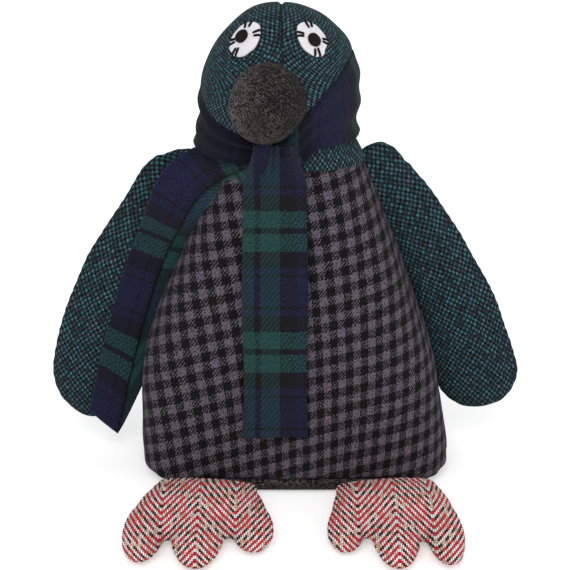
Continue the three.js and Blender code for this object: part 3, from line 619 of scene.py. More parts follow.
def tweed(cloths, feet):
    """Coarse herringbone: slanted stitches whose slope turns at each column, in five wools.

    Each row has thin pale strokes in its upper share, and under them blobs of red, tan or black. A stitch
    is highest in its middle, and falls off over a soft edge at its sides and ends.
    """
    f = Finish("tweed")
    across, along, dark = f.cloth()
    strand_width, slope, upper_share = 1.05, 1.05, 0.58
    soft_side, soft_end = 0.14, 0.12
    column, row_height = feet.column / MM, feet.stitch_row / MM
    spot = f.vector(across, along)
    drift = (f.noise(spot, 0.12, 2.0) - 0.5) * 1.6
    strand = across / strand_width
    level = (strand.floor() + 0.5) * strand_width
    fold = ((level / (2 * column)).fract() - 0.5).apply("ABSOLUTE") * (2 * column)
    slant = (along + drift + fold * slope) / row_height
    row, band = slant.floor(), slant.fract()
    upper = band < upper_share
    blob = strand * 0.5
    luck_stroke = f.chance(f.vector(strand.floor(), row, 7.0))
    luck_blob = f.chance(f.vector(blob.floor(), row, 3.0))
    turn = (blob.floor() * 0.5).fract() > 0.25
    strokes = f.node("ShaderNodeValToRGB", {"stops": [
        (0.0, cloths.tweed_white), (0.64, cloths.tweed_tan), (0.86, cloths.tweed_pink)]},
        {0: luck_stroke}, "Color")
    blobs = f.node("ShaderNodeValToRGB", {"stops": [
        (0.0, cloths.tweed_red), (0.40, cloths.tweed_tan), (0.5, cloths.tweed_black),
        (0.80, cloths.tweed_red)]}, {0: luck_blob * 0.5 + turn * 0.5}, "Color")
    tone = f.blend(blobs, strokes, upper)
    beside = upper.pick(strand.off_middle(), blob.off_middle())
    way_down = upper.pick(band / upper_share, (band - upper_share) / (1 - upper_share))
    inside = (way_down - 0.5).apply("ABSOLUTE")
    body = (0.5 - beside).least(soft_side) * (0.5 - inside).least(soft_end) / (soft_side * soft_end)
    hair = f.noise(spot, 2.2, 3.0)
    # The ground wool between the stitches is darkened with painted shade, and each stitch is painted lighter
    # in its middle and darker at its edges.
    tone = f.blend(cloths.tweed_ground_in_shade, tone, body)
    tone = f.shade(tone, (0.62 + body * 0.25 + hair * 0.4) * (1 - dark))
    return f.cloth_surface(tone, body + hair * 0.3, 0.9 * MM)


def tartan(cloths, scarf):
    """Brushed tartan: one sett for both ways of the cloth, mixed by a diagonal twill."""
    f = Finish("tartan")
    across, along, dark = f.cloth()
    size, fluff, twill_slope, twill_width = scarf.repeat / MM, 1.3, 1.35, 4.0
    spot = f.vector(across, along)
    hair = (f.noise(spot, 0.9, 4.0) - 0.5) * 2.6 + 0.5
    cloud = f.noise(spot, 0.10, 2.0)
    blue, green, black = cloths.tartan_blue, cloths.tartan_green, cloths.tartan_black
    stops = [(0.0, blue), (0.055, black), (0.075, blue), (0.32, black), (0.34, blue), (0.397, black),
             (0.53, green), (0.67, black), (0.715, green), (0.865, black)]
    wobble = (hair - 0.5) * fluff
    warp, weft = (
        f.node("ShaderNodeValToRGB", {"stops": stops}, {0: ((way + wobble) / size).fract()}, "Color")
        for way in (across, along))
    twill = (across * twill_slope + along + (hair - 0.5) * 0.6) / twill_width
    share = ((twill.off_middle() - 0.25) * 1.3 + 0.6 + (hair - 0.5) * 0.7).most(0.0).least(1.0)
    tone = f.blend(warp, weft, share)
    # The third value darkens the cloth: painted shade on the wrap's left front, along the front tail's edges
    # and in the side tail's crease, with an even darkening of the wrap and the knot; below zero it is painted
    # light on the side tail's folded strip.
    tone = f.shade(tone, (0.34 + hair * 0.95 + cloud * 0.3).most(0.2) * (1 - dark))
    return f.cloth_surface(tone, hair * 0.3 + share * 0.35, 0.6 * MM, sheen=0.04)


def felt(name, tone, spread):
    """Pressed wool: one colour with fine fibres."""
    f = Finish(name)
    spot = f.node("ShaderNodeTexCoord", None, None, "Object")
    hair = f.noise(spot, 1500.0, 4.0)
    cloud = f.noise(spot, 180.0, 2.0)
    shade = f.shade(tone, 1 - spread + (hair + cloud) * spread)
    return f.cloth_surface(shade, hair, 0.4 * MM)


def loose_fill(name, tone, scale):
    """Stuffing or sacking inside the body: streaks of fibre."""
    f = Finish(name)
    spot = f.node("ShaderNodeTexCoord", None, None, "Object")
    fibre = f.noise(spot, scale, 6.0)
    return f.cloth_surface(f.shade(tone, 0.6 + fibre * 0.6), fibre, 1 * MM)


def settings(context):
    """The scene's sizes and colours."""
    return context.scene.penguin_settings


def finish_of(name):
    """A finish that an earlier operator made."""
    if "soft_" + name not in bpy.data.materials:
        raise RuntimeError("The finishes come first: " + name)
    return bpy.data.materials["soft_" + name]


class PENGUIN_PG_settings(bpy.types.PropertyGroup):
    body: bpy.props.PointerProperty(type=PENGUIN_PG_body)
    head: bpy.props.PointerProperty(type=PENGUIN_PG_head)
    beak: bpy.props.PointerProperty(type=PENGUIN_PG_beak)
    eyes: bpy.props.PointerProperty(type=PENGUIN_PG_eyes)
    flippers: bpy.props.PointerProperty(type=PENGUIN_PG_flippers)
    feet: bpy.props.PointerProperty(type=PENGUIN_PG_feet)
    scarf: bpy.props.PointerProperty(type=PENGUIN_PG_scarf)
    cloths: bpy.props.PointerProperty(type=PENGUIN_PG_cloths)
    studio: bpy.props.PointerProperty(type=PENGUIN_PG_studio)


class PENGUIN_OT_finishes(bpy.types.Operator):
    """Make the cloths, and dress the filling and the sand bag inside"""
    bl_idname = "penguin.finishes"
    bl_label = "Cloths and fillings"

    def execute(self, context):
        s = settings(context)
        check_cloth(s.cloths)
        teal_cloth(s.cloths)
        charcoal_cloth(s.cloths)
        tweed(s.cloths, s.feet)
        tartan(s.cloths, s.scarf)
        felt("white_felt", s.cloths.felt_white, 0.12)
        felt("black_felt", s.cloths.felt_black, 0.35)
        inside = {
            "filling": loose_fill("stuffing", linear(232, 230, 224), 260.0),
            "sand_bag": loose_fill("sacking", linear(176, 154, 114), 500.0),
        }
        for name, material in inside.items():
            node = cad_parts[name]
            for slot in node.material_slots:
                slot.material = material
        return {"FINISHED"}


# Belly, back and base

# How far the panels stop above the hem and the base below it, and the turn from the body's side to its seam
HEM_GAP = 0.15 * MM
SEAM_TURN = 2 * math.pi / 40


def near_corner(x):
    """How near a place is to the body's corners: 0 up to 62 mm from the middle, and 1 from 87 mm."""
    return smooth((np.abs(x) - 62 * MM) / (25 * MM))


def panel(body, first, last, columns, rows, seed):
    """A body panel: the body's outline between two turns, with puffed edges along its four seams."""
    side_puff, hem_puff, top_puff, front_rise = 4.5 * MM, 5 * MM, 4 * MM, 5.5 * MM
    tuck_length, ripple_length, highest = 13 * MM, 17 * MM, 1.4 * MM
    turn, height = np.meshgrid(np.linspace(first, last, columns), np.linspace(0, 1, rows))
    angle = corner_angle(turn, body)
    corner = near_corner(body.half_width * np.cos(angle))
    crest = smooth(-np.sin(angle) / 0.3)
    z = lerp(body.hem + HEM_GAP - body.corner_drop * corner,
             body.shoulder - 0.3 * MM + front_rise * crest, height)
    plain = on_section(body_section(z, body), angle, z)
    plain[..., 0] += flank(plain, z, body)
    sideways, upward = along_arc(plain, 1), along_arc(plain, 0)
    side_gap = np.minimum(sideways, sideways[:, -1:] - sideways)
    hem_gap, top_gap = upward, upward[-1:] - upward
    full = puff(side_gap, side_puff) * puff(hem_gap, hem_puff) * puff(top_gap, top_puff)
    tuck = np.sin(upward * 2 * math.pi / tuck_length + 1.2 * np.sin(upward * 260))
    ripple = np.sin(sideways * 2 * math.pi / ripple_length + 1.6 * np.sin(sideways * 55))
    pucker = 0.5 * MM * tuck * fade(side_gap, 9 * MM) + 0.8 * MM * ripple * fade(hem_gap, 11 * MM)
    bumps = highest * np.tanh(stuffing(plain, (85, 1.3), (32, 0.35), seed) / highest)
    outside = plain * (1, 1, 0)
    front = swell(plain, outside, (full - 1) * body.cloth + (bumps + pucker + 0.4 * MM) * full)
    back = swell(plain, outside, np.full(z.shape, -body.cloth))
    edge = np.minimum(side_gap, np.minimum(hem_gap, top_gap))
    back = np.where((edge <= 0)[..., None], front, back)
    return front, back, edge, z


def check_counts(front, z):
    """Counts of squares across and down the belly, for the way s round it and the height h in millimetres.

    Both are low powers of s and h. A square is about 10 mm wide and 11 mm high, the columns draw together
    towards the hem, and the rows rise to the right.
    """
    step = np.linalg.norm(np.diff(front, axis=1), axis=-1) / MM
    arc = np.concatenate([np.zeros((len(front), 1)), np.cumsum(step, axis=1)], axis=1)
    middle = np.argmin(np.abs(front[..., 0]) + (front[..., 1] > 0), axis=1)
    rows = np.arange(len(front))
    s = arc - arc[rows, middle][:, None] + front[rows, middle, 0][:, None] / MM
    h = z / MM - 100
    i = (4.0825 + 0.1033 * s + 0.0083169 * h - 0.00016183 * s * h
         + 7.7664e-5 * s ** 2 + 5.1725e-5 * h ** 2 - 9.68e-7 * s ** 3)
    j = (3.0482 + 0.02215 * s - 0.092073 * h - 2.71e-5 * s * h
         - 6.93e-5 * s ** 2 - 1.58e-5 * h ** 2)
    return i, j


class PENGUIN_OT_body(bpy.types.Operator):
    """Make the check belly, the teal back and the charcoal base"""
    bl_idname = "penguin.body"
    bl_label = "Belly, back and base"

    def execute(self, context):
        s = settings(context)
        body = s.body
        front, back, edge, z = panel(
            body, math.pi - SEAM_TURN, 2 * math.pi + SEAM_TURN, columns=270, rows=180, seed=4)
        skin = Skin()
        # The third cloth value is painted shade along the belly's seams, fading over 1.5 mm.
        skin.pillow(front, back, stack(*check_counts(front, z), 0.55 * fade(edge, 1.5 * MM)))
        belly = skin.finish("belly", finish_of("check_cloth"))
        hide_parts("belly_panel")

        front, back, edge, z = panel(
            body, SEAM_TURN, math.pi - SEAM_TURN, columns=220, rows=160, seed=14)
        skin = Skin()
        # The third cloth value is painted shade along the back's seams, fading over 1.5 mm.
        skin.pillow(front, back, stack(along_arc(front, 1) / MM, z / MM, 0.5 * fade(edge, 1.5 * MM)))
        rear = skin.finish("back", finish_of("teal_cloth"))
        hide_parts("back_panel")

        base = self.base(body)
        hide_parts("base_panel")
        return {"FINISHED"}

    def base(self, body):
        """A shallow tray: its rows run from the middle of the floor out, up the wall to the hem, and back
        inside. Its corners are drawn in a little, and its wall has creases."""
        under_rows, wall_rows, inner_rows = 24, 16, 20
        lip = under_rows + wall_rows
        rim = body.hem - HEM_GAP
        out = np.concatenate([
            np.linspace(0, 0.96, under_rows), np.ones(wall_rows), np.linspace(0.97, 0, inner_rows)])
        low = np.concatenate([
            np.zeros(under_rows), rim * np.linspace(0, 1, wall_rows) ** 1.4, np.full(inner_rows, body.cloth)])
        low[lip:lip + 3] = (rim, rim * 0.75, rim * 0.45)
        grow = np.concatenate([np.zeros(lip), np.full(inner_rows, -body.cloth)])
        turn, row = np.meshgrid(around(220), np.arange(lip + inner_rows))
        z = low[row]
        points = on_section(body_section(z, body), corner_angle(turn, body), z, grow[row])
        points[..., :2] *= out[row][..., None]
        points[..., 0] += flank(points, z, body)
        points[..., :2] *= (1 - 0.012 * near_corner(points[..., 0]))[..., None]
        crease = np.sin(turn * 23) * 0.35 * MM * smooth((z - 2 * MM) / (4 * MM)) * (row < lip)
        points[..., :2] *= (1 + crease / body.half_depth)[..., None]
        wide = closed(points)
        skin = Skin()
        skin.add(points, stack(wide[..., 0] / MM, (wide[..., 1] - wide[..., 2]) / MM, 0.2))
        return skin.finish("base", finish_of("charcoal_cloth"))


# Head, beak and eyes

class PENGUIN_OT_head(bpy.types.Operator):
    """Make the teal head with its seam over the brow"""
    bl_idname = "penguin.head"
    bl_label = "Head"

    def execute(self, context):
        s = settings(context)
        body, head = s.body, s.head
        hidden_below, seam_from, seam_run = 5 * MM, 255 * MM, 30 * MM
        wall, crown = 0.42, head.height - head.middle
        turn, row = np.meshgrid(around(320), np.linspace(0, 1, 210))
        z = np.where(row < wall, lerp(body.shoulder - hidden_below, head.middle, row / wall),
                     head.middle + crown * np.sin((row - wall) / (1 - wall) * math.pi / 2))
        inner = on_section(body_section(z, body), turn, z, -1.2 * MM)
        shell = on_section(head_section(np.minimum(z, head.height - 1e-6), body, head), turn, z)
        plain = np.where((z < body.shoulder)[..., None], inner, shell)
        gap = np.abs(plain[..., 0] - head.seam)
        valley = (0.9 + 0.5 * smooth((z - 292 * MM) / (7 * MM))) * MM * bell(gap, 1.4 * MM)
        tuck = 0.35 * MM * np.sin(z * 2 * math.pi / (7 * MM)) * fade(gap, 5 * MM)
        tuck = tuck * smooth((z - seam_from) / seam_run)
        bumps = stuffing(plain, (60, 0.9), (24, 0.25), 21) * smooth((row - 0.02) / 0.08)
        edge_in = 1.6 * MM * (1 - puff(z - body.shoulder, 3 * MM))
        middle = np.array([head.shift, 0, head.middle - 10 * MM])
        points = swell(plain, plain - middle, bumps + tuck - valley - edge_in)
        points[0, :, :2] = 0
        skin = Skin()
        skin.add(points, self.chart(closed(points), head))
        piece = skin.finish("head", finish_of("teal_cloth"))
        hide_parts("head_left", "head_right")
        return {"FINISHED"}

    def chart(self, wide, head):
        """Cloth coordinate: round from the seam and down from the crown. The threads lean over towards the
        top, the other way on each side of the seam."""
        most_lean, lean_from, lean_run = 0.62, 235 * MM, 50 * MM
        side = np.where(wide[..., 0] < head.seam, -1.0, 1.0)
        out = np.hypot(wide[..., 0] - head.shift, wide[..., 1])
        swing = np.arctan2(wide[..., 0] - head.seam, -wide[..., 1])
        round_way = np.abs(swing) * np.maximum(out, 1e-4) / MM
        upward = along_arc(wide, 0)
        down_way = (upward[-1:] - upward) / MM
        lean = most_lean * smooth((wide[..., 2] - lean_from) / lean_run)
        u = round_way * np.cos(lean) + down_way * np.sin(lean)
        v = down_way * np.cos(lean) - round_way * np.sin(lean)
        # Painted shade in the seam's valley, from about 250 mm up.
        dark = 0.55 * bell(np.abs(wide[..., 0] - head.seam), 0.9 * MM)
        return stack(side * u, v, dark * smooth((wide[..., 2] - 250 * MM) / (10 * MM)))


class PENGUIN_OT_beak(bpy.types.Operator):
    """Make the blunt stuffed beak, with a seam on each side and painted shade, strongest on its right a
    little above the middle and least on its lower left
    """
    bl_idname = "penguin.beak"
    bl_label = "Beak"

    def execute(self, context):
        beak = settings(context).beak
        aim = np.array(beak.aim) / np.linalg.norm(beak.aim)
        side = np.cross((0, 0, 1), aim)
        side /= np.linalg.norm(side)
        up = np.cross(aim, side)
        # The third angle is where the painted shade is least, on the lower left.
        seam_turn, seam_width, painted_light_side, cloth_radius = 0.25, 0.05, 3.6, 18
        turn, row = np.meshgrid(around(180), np.linspace(0, 1, 110))
        reach = np.sin(row * math.pi / 2)
        size = np.clip(1 - reach ** beak.bulge, 0, 1) ** 0.6
        x = beak.half_width * size * np.cos(turn)
        y = beak.half_height * size * np.sin(turn)
        root = np.array(beak.root)
        plain = root + (reach * beak.reach)[..., None] * aim + x[..., None] * side + y[..., None] * up
        seams = bell(turn - seam_turn, seam_width) + bell(turn - math.pi - seam_turn, seam_width)
        bumps = lumps(plain, 30 * MM, 31) * 0.7 * MM * smooth((1 - row) / 0.1)
        bumps = bumps - 0.45 * MM * seams * smooth((1 - row) / 0.5)
        centre = root + aim * beak.reach * 0.3
        points = swell(plain, plain - centre, bumps)
        outward = along_arc(closed(points), 0)
        from_tip = (outward[-1:] - outward) / MM
        angle = closed(turn, 2 * math.pi)
        # Painted shade: strongest on the right a little above the middle, none on the lower left, and half
        # strength at the tip.
        dark = 0.34 * (0.5 - 0.5 * np.cos(angle - painted_light_side) * np.minimum(from_tip / cloth_radius, 1))
        skin = Skin()
        skin.add(points, stack(angle * cloth_radius, from_tip, dark))
        piece = skin.finish("beak_cover", finish_of("charcoal_cloth"))
        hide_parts("beak")
        return {"FINISHED"}


class Brow:
    """Places points given in an eye's own plane onto the head's dome, along the dome's normal."""

    def __init__(self, head, eyes, side, lean):
        self.head = head
        self.reach = np.array([head.half_width, head.half_depth, head.height - head.middle])
        x, z = side * eyes.spread, eyes.height - head.middle
        y = -self.reach[1] * math.sqrt(1 - (x / self.reach[0]) ** 2 - (z / self.reach[2]) ** 2)
        self.centre = np.array([x, y, z])
        normal = self.centre / self.reach ** 2
        self.normal = normal / np.linalg.norm(normal)
        across = np.array([-self.normal[1], self.normal[0], 0])
        across /= np.linalg.norm(across)
        up = np.cross(self.normal, across)
        up *= np.sign(up[2])
        across *= np.sign(across[0])
        self.across = across * math.cos(lean) + up * math.sin(lean)
        self.up = up * math.cos(lean) - across * math.sin(lean)

    def at(self, p, q, grow):
        """The dome grown by an allowance, met by the line along the normal."""
        start = self.centre + p[..., None] * self.across + q[..., None] * self.up
        reach = self.reach + np.broadcast_to(grow, p.shape)[..., None]
        a, b = start / reach, self.normal / reach
        square = np.sum(b * b, axis=-1)
        half = np.sum(a * b, axis=-1) / square
        rise = -half + np.sqrt(np.maximum(half ** 2 - (np.sum(a * a, axis=-1) - 1) / square, 0))
        return start + rise[..., None] * self.normal + np.array([self.head.shift, 0, self.head.middle])


# Where the stitches are round each eye, in degrees from its right end over its top
LEFT_STITCHES = (124, 100, 42, 24, 200, 216, 256, 272)
RIGHT_STITCHES = (145, 158, 82, 60, -18, -33, 240, 260)


class PENGUIN_OT_eyes(bpy.types.Operator):
    """Make the felt eyes, the pupils and the black stitches that hold them"""
    bl_idname = "penguin.eyes"
    bl_label = "Eyes"

    def execute(self, context):
        s = settings(context)
        # The felt is pressed thinner where it is sewn down
        self.eyes, self.thick = s.eyes, s.eyes.felt * 0.8
        for word, side, lean, slide, marks in (
                ("left", -1, -0.15, (-1.7, 0.3), LEFT_STITCHES),
                ("right", 1, 0.15, (-0.8, -1.5), RIGHT_STITCHES)):
            brow, low = Brow(s.head, s.eyes, side, lean), 0.2 * MM
            white = self.patch(brow, s.eyes.half_width, s.eyes.half_length, low, (0, 0), 3 + side)
            white = white.finish("eye_white_" + word + "_felt", finish_of("white_felt"))
            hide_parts("eye_white_" + word)
            black = self.patch(brow, s.eyes.pupil_half_width, s.eyes.pupil_half_length,
                               low + s.eyes.felt, slide, 8 + side)
            black = black.finish("pupil_" + word + "_felt", finish_of("black_felt"))
            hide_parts("pupil_" + word)
            threads = self.stitches(brow, marks).finish("eye_stitches_" + word, finish_of("black_felt"))
        return {"FINISHED"}

    def patch(self, brow, half_width, half_length, low, slide, seed):
        """A felt oval: rings from the middle of its underside out, over the cut edge, and back in."""
        size = np.array([0, 0.5, 0.97, 1, 1, 0.985, 0.95, 0.8, 0.55, 0.3, 0])
        grow = low + self.thick * np.array([0, 0, 0, 0.15, 0.6, 0.85, 1, 1.08, 1.12, 1.14, 1.15])
        turn, row = np.meshgrid(around(96), np.arange(len(size)))
        wave = 1 + 0.012 * np.sin(5 * turn + seed) + 0.01 * np.sin(9 * turn + 2 * seed)
        p = size[row] * half_width * wave * (1 - 0.05 * np.sin(turn)) * np.cos(turn) + slide[0] * MM
        q = size[row] * half_length * wave * np.sin(turn) + slide[1] * MM
        points = brow.at(p, q, grow[row])
        skin = Skin()
        skin.add(points, closed(points) / MM)
        return skin

    def stitches(self, brow, marks):
        """Short bars of thread, each from the felt over its cut edge down to the head."""
        skin = Skin()
        t, turn = np.meshgrid(np.linspace(0, 1, 14), around(12), indexing="ij")
        for count, mark in enumerate(marks):
            a = math.radians(mark)
            inner, outer = 0.58 + 0.04 * math.sin(count * 2.4), 1.1
            reach = lerp(inner, outer, t)
            x = reach * self.eyes.half_width * math.cos(a)
            y = reach * self.eyes.half_length * math.sin(a)
            away = np.array([-math.sin(a), math.cos(a)])
            half = self.eyes.stitch * dome(np.abs(2 * t - 1) ** 3)
            lift = self.thick * 1.25 * (1 - smooth((reach - 0.98) / 0.06)) + 0.35 * MM
            p = x + away[0] * half * np.cos(turn)
            q = y + away[1] * half * np.cos(turn)
            points = brow.at(p, q, lift + half * np.sin(turn) * 0.9)
            skin.add(points, closed(points) / MM)
        return skin


# Flippers

# Root of each flipper's middle line, the spot that it leans towards, and its tip
RIGHT_FLIPPER = np.array([(40, 3, 206), (113, 7, 122), (124, 13, 27)]) * MM
LEFT_FLIPPER = np.array([(-54, 3, 206), (-127, 6, 145), (-137, 12, 20)]) * MM


def bend_line(spots, t):
    """A line through the first and last spot that leans towards the middle one."""
    t = np.asarray(t)[..., None]
    return (1 - t) ** 2 * spots[0] + 2 * t * (1 - t) * spots[1] + t * t * spots[2]


def flipper_size(t, flippers, shoulder=0.0):
    """Half width and half thickness along the flipper, rounded at both ends, with a fuller shoulder."""
    whole = 1 - flippers.tip_round
    tip = dome(np.clip((t - whole) / flippers.tip_round, 0, 1))
    root = dome(np.clip((0.06 - t) / 0.06, 0, 1))
    grown = np.clip(t / whole, 0, 1)
    width = lerp(flippers.root_half_width, flippers.half_width, grown)
    width = (width + shoulder * bell(t - 0.16, 0.1)) * tip * root
    thickness = lerp(flippers.root_half_thickness, flippers.half_thickness, grown)
    return width, thickness * np.sqrt(tip * root)


class PENGUIN_OT_flippers(bpy.types.Operator):
    """Make the two stuffed flippers"""
    bl_idname = "penguin.flippers"
    bl_label = "Flippers"

    def execute(self, context):
        flippers = settings(context).flippers
        for word, spots, shoulder, seed in (
                ("left", LEFT_FLIPPER, 6 * MM, 41), ("right", RIGHT_FLIPPER, 1.5 * MM, 46)):
            piece = self.flipper(spots, flippers, shoulder, seed).finish(
                "flipper_" + word + "_cover", finish_of("teal_cloth"))
            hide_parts("flipper_" + word)
        return {"FINISHED"}

    def flipper(self, spots, flippers, shoulder, seed):
        """An oval section carried along the flipper's line, lumpy, with a sewn edge and shoulder creases."""
        even, other_face = 1 - flippers.tip_round, 200.0
        tip = 1 - flippers.tip_round * (1 - np.sin(np.linspace(0.02, 1, 50) * math.pi / 2))
        rows = np.concatenate([np.linspace(0, even, 170), tip])
        turn, t = np.meshgrid(around(160), rows)
        centre = bend_line(spots, t)
        # A fuller shoulder starts lower, so that its top stays where it is
        centre[..., 2] -= np.maximum(shoulder - 1.5 * MM, 0) * 1.2 * bell(t, 0.13)
        run = bend_line(spots, t + 0.01) - bend_line(spots, t - 0.01)
        run = run / np.linalg.norm(run[..., [0, 2]], axis=-1, keepdims=True)
        across = stack(run[..., 2], 0.0, -run[..., 0])
        width, thick = flipper_size(t, flippers, shoulder)
        side = np.sign(np.cos(turn)) * np.abs(np.cos(turn)) ** 0.94
        plain = centre + (width * side)[..., None] * across
        plain = plain + (thick * np.sin(turn))[..., None] * np.array([0, 1, 0])
        edge = np.abs(np.sin(turn)) * thick
        seam = 0.9 * MM * bell(edge, 1.3 * MM)
        tuck = 0.3 * MM * np.sin(t * 190 + 3 * np.cos(turn)) * fade(edge, 3 * MM)
        crease = np.sin(t * 105 + 1.4 * np.sin(turn)) * bell(t - 0.10, 0.07) * 0.4 * MM
        bumps = stuffing(plain, (70, 1.1), (26, 0.35), seed)
        calm = smooth(t / 0.03) * smooth((1 - t) / 0.02)
        points = swell(plain, plain - centre, (bumps + crease + tuck - seam) * calm)
        angle = closed(turn, 2 * math.pi)
        width, thick = flipper_size(closed(t), flippers)
        u = width * np.cos(angle) / MM + np.where(np.sin(angle) > 0, other_face, 0.0)
        v = along_arc(bend_line(spots, rows)[:, None], 0) / MM
        # Painted shade along the sewn edge, on top of an even 0.12 darkening all over.
        dark = 0.12 + 0.3 * bell(np.abs(np.sin(angle)) * thick, 0.9 * MM)
        skin = Skin()
        skin.add(points, stack(u, v, dark))
        return skin


# Feet

class PENGUIN_OT_feet(bpy.types.Operator):
    """Make the stuffed feet: blown up by a short cloth simulation from their CAD solids"""
    bl_idname = "penguin.feet"
    bl_label = "Feet"

    def execute(self, context):
        s = settings(context)
        for word, side in (("left", -1), ("right", 1)):
            piece = self.stuffed("foot_" + word, "foot_" + word + "_cover", side, s.feet)
            self.chart(piece, side * s.feet.spread)
            place(piece, finish_of("tweed"))
            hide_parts("foot_" + word)
        return {"FINISHED"}

    def stuffed(self, node, name, side, feet):
        """Copies a solid, remeshes it evenly, and lets air pressure swell its cloth a little."""
        mesh_step, most_swell, floor_gap, last_frame = 2.2 * MM, 2.5 * MM, 0.15 * MM, 12
        copy = bpy.data.objects.new(name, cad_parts[node].data.copy())
        bpy.context.scene.collection.objects.link(copy)
        bpy.context.view_layer.objects.active = copy
        for other in bpy.context.selected_objects:
            other.select_set(False)
        copy.select_set(True)
        remesh = copy.modifiers.new("even", "REMESH")
        remesh.mode, remesh.voxel_size = "VOXEL", mesh_step
        calm = copy.modifiers.new("calm", "SMOOTH")
        calm.factor, calm.iterations = 0.5, 6
        self.apply_all(copy)
        start = self.stretch(self.points_of(copy), side, feet)
        copy.data.vertices.foreach_set("co", start.astype(np.float32).ravel())
        cloth = copy.modifiers.new("cloth", "CLOTH")
        cloth.settings.use_pressure = True
        cloth.settings.uniform_pressure_force = 4
        cloth.settings.effector_weights.gravity = 0
        cloth.settings.quality = 5
        scene = bpy.context.scene
        for number in range(1, last_frame + 1):
            scene.frame_set(number)
        self.apply_all(copy)
        scene.frame_set(1)
        moved = self.points_of(copy) - start
        far = np.maximum(np.linalg.norm(moved, axis=1, keepdims=True), 1e-9)
        held = start + moved * np.minimum(1, most_swell / far)
        held[:, 2] = np.maximum(held[:, 2], floor_gap)
        copy.data.vertices.foreach_set("co", held.astype(np.float32).ravel())
        finer = copy.modifiers.new("finer", "SUBSURF")
        finer.levels = finer.render_levels = 1
        self.apply_all(copy)
        copy.data.polygons.foreach_set("use_smooth", np.ones(len(copy.data.polygons), dtype=bool))
        copy.data.materials.clear()
        bpy.context.scene.collection.objects.unlink(copy)
        return copy

    def stretch(self, points, side, feet):
        """Widens a foot under the hem and draws its toes out; the outer toe and the left foot get more."""
        foot_length, under_hem, under_run = 100 * MM, 25 * MM, 18 * MM
        near = smooth((points[:, 1] - (feet.heel - under_hem)) / under_run)
        ahead = np.clip((feet.heel - points[:, 1]) / foot_length, 0, 1)
        middle, outer_draw = side * feet.spread, (10 if side > 0 else 6.5) * MM
        outer = smooth((side * (points[:, 0] - middle) - 10 * MM) / (16 * MM))
        wide = 0.07 * near + (0.05 if side < 0 else -0.05) * smooth(ahead / 0.6)
        points[:, 0] = middle + (points[:, 0] - middle) * (1 + wide) - side * 1 * MM * near
        points[:, 1] -= ahead * (feet.toe_draw + outer_draw * outer)
        return points

    def apply_all(self, piece):
        """Applies a piece's modifiers from first to last."""
        for modifier in list(piece.modifiers):
            if bpy.ops.object.modifier_apply(modifier=modifier.name) != {"FINISHED"}:
                raise RuntimeError("A modifier of " + piece.name + " wouldn't apply")

    def points_of(self, piece):
        """Places of a piece's corners, one in each row."""
        flat = np.empty(len(piece.data.vertices) * 3, dtype=np.float32)
        piece.data.vertices.foreach_get("co", flat)
        return flat.reshape(-1, 3).astype(float)

    def chart(self, piece, middle):
        """Cloth coordinate of a foot: across from its middle line, and along over its slope to the floor."""
        points = self.points_of(piece)
        across = (points[:, 0] - middle) / MM
        along = -(points[:, 1] * 0.46 + points[:, 2] * 0.94) / MM
        layer = piece.data.attributes.new("cloth", "FLOAT_VECTOR", "POINT")
        values = stack(across, along, np.zeros(len(points)))
        layer.data.foreach_set("vector", values.astype(np.float32).ravel())


# Scarf

def wrap_top(angle, scarf):
    """Upper edge of the wrap: low under the beak, high behind, and higher on the right than on the left."""
    c, s = np.cos(angle), np.sin(angle)
    middle, half = (scarf.right_rise + scarf.left_rise) / 2, (scarf.right_rise - scarf.left_rise) / 2
    front = np.where(c > 0, scarf.right_rise * c, scarf.left_rise * c ** 6)
    return scarf.front_top + np.where(s > 0, middle + half * c, front)


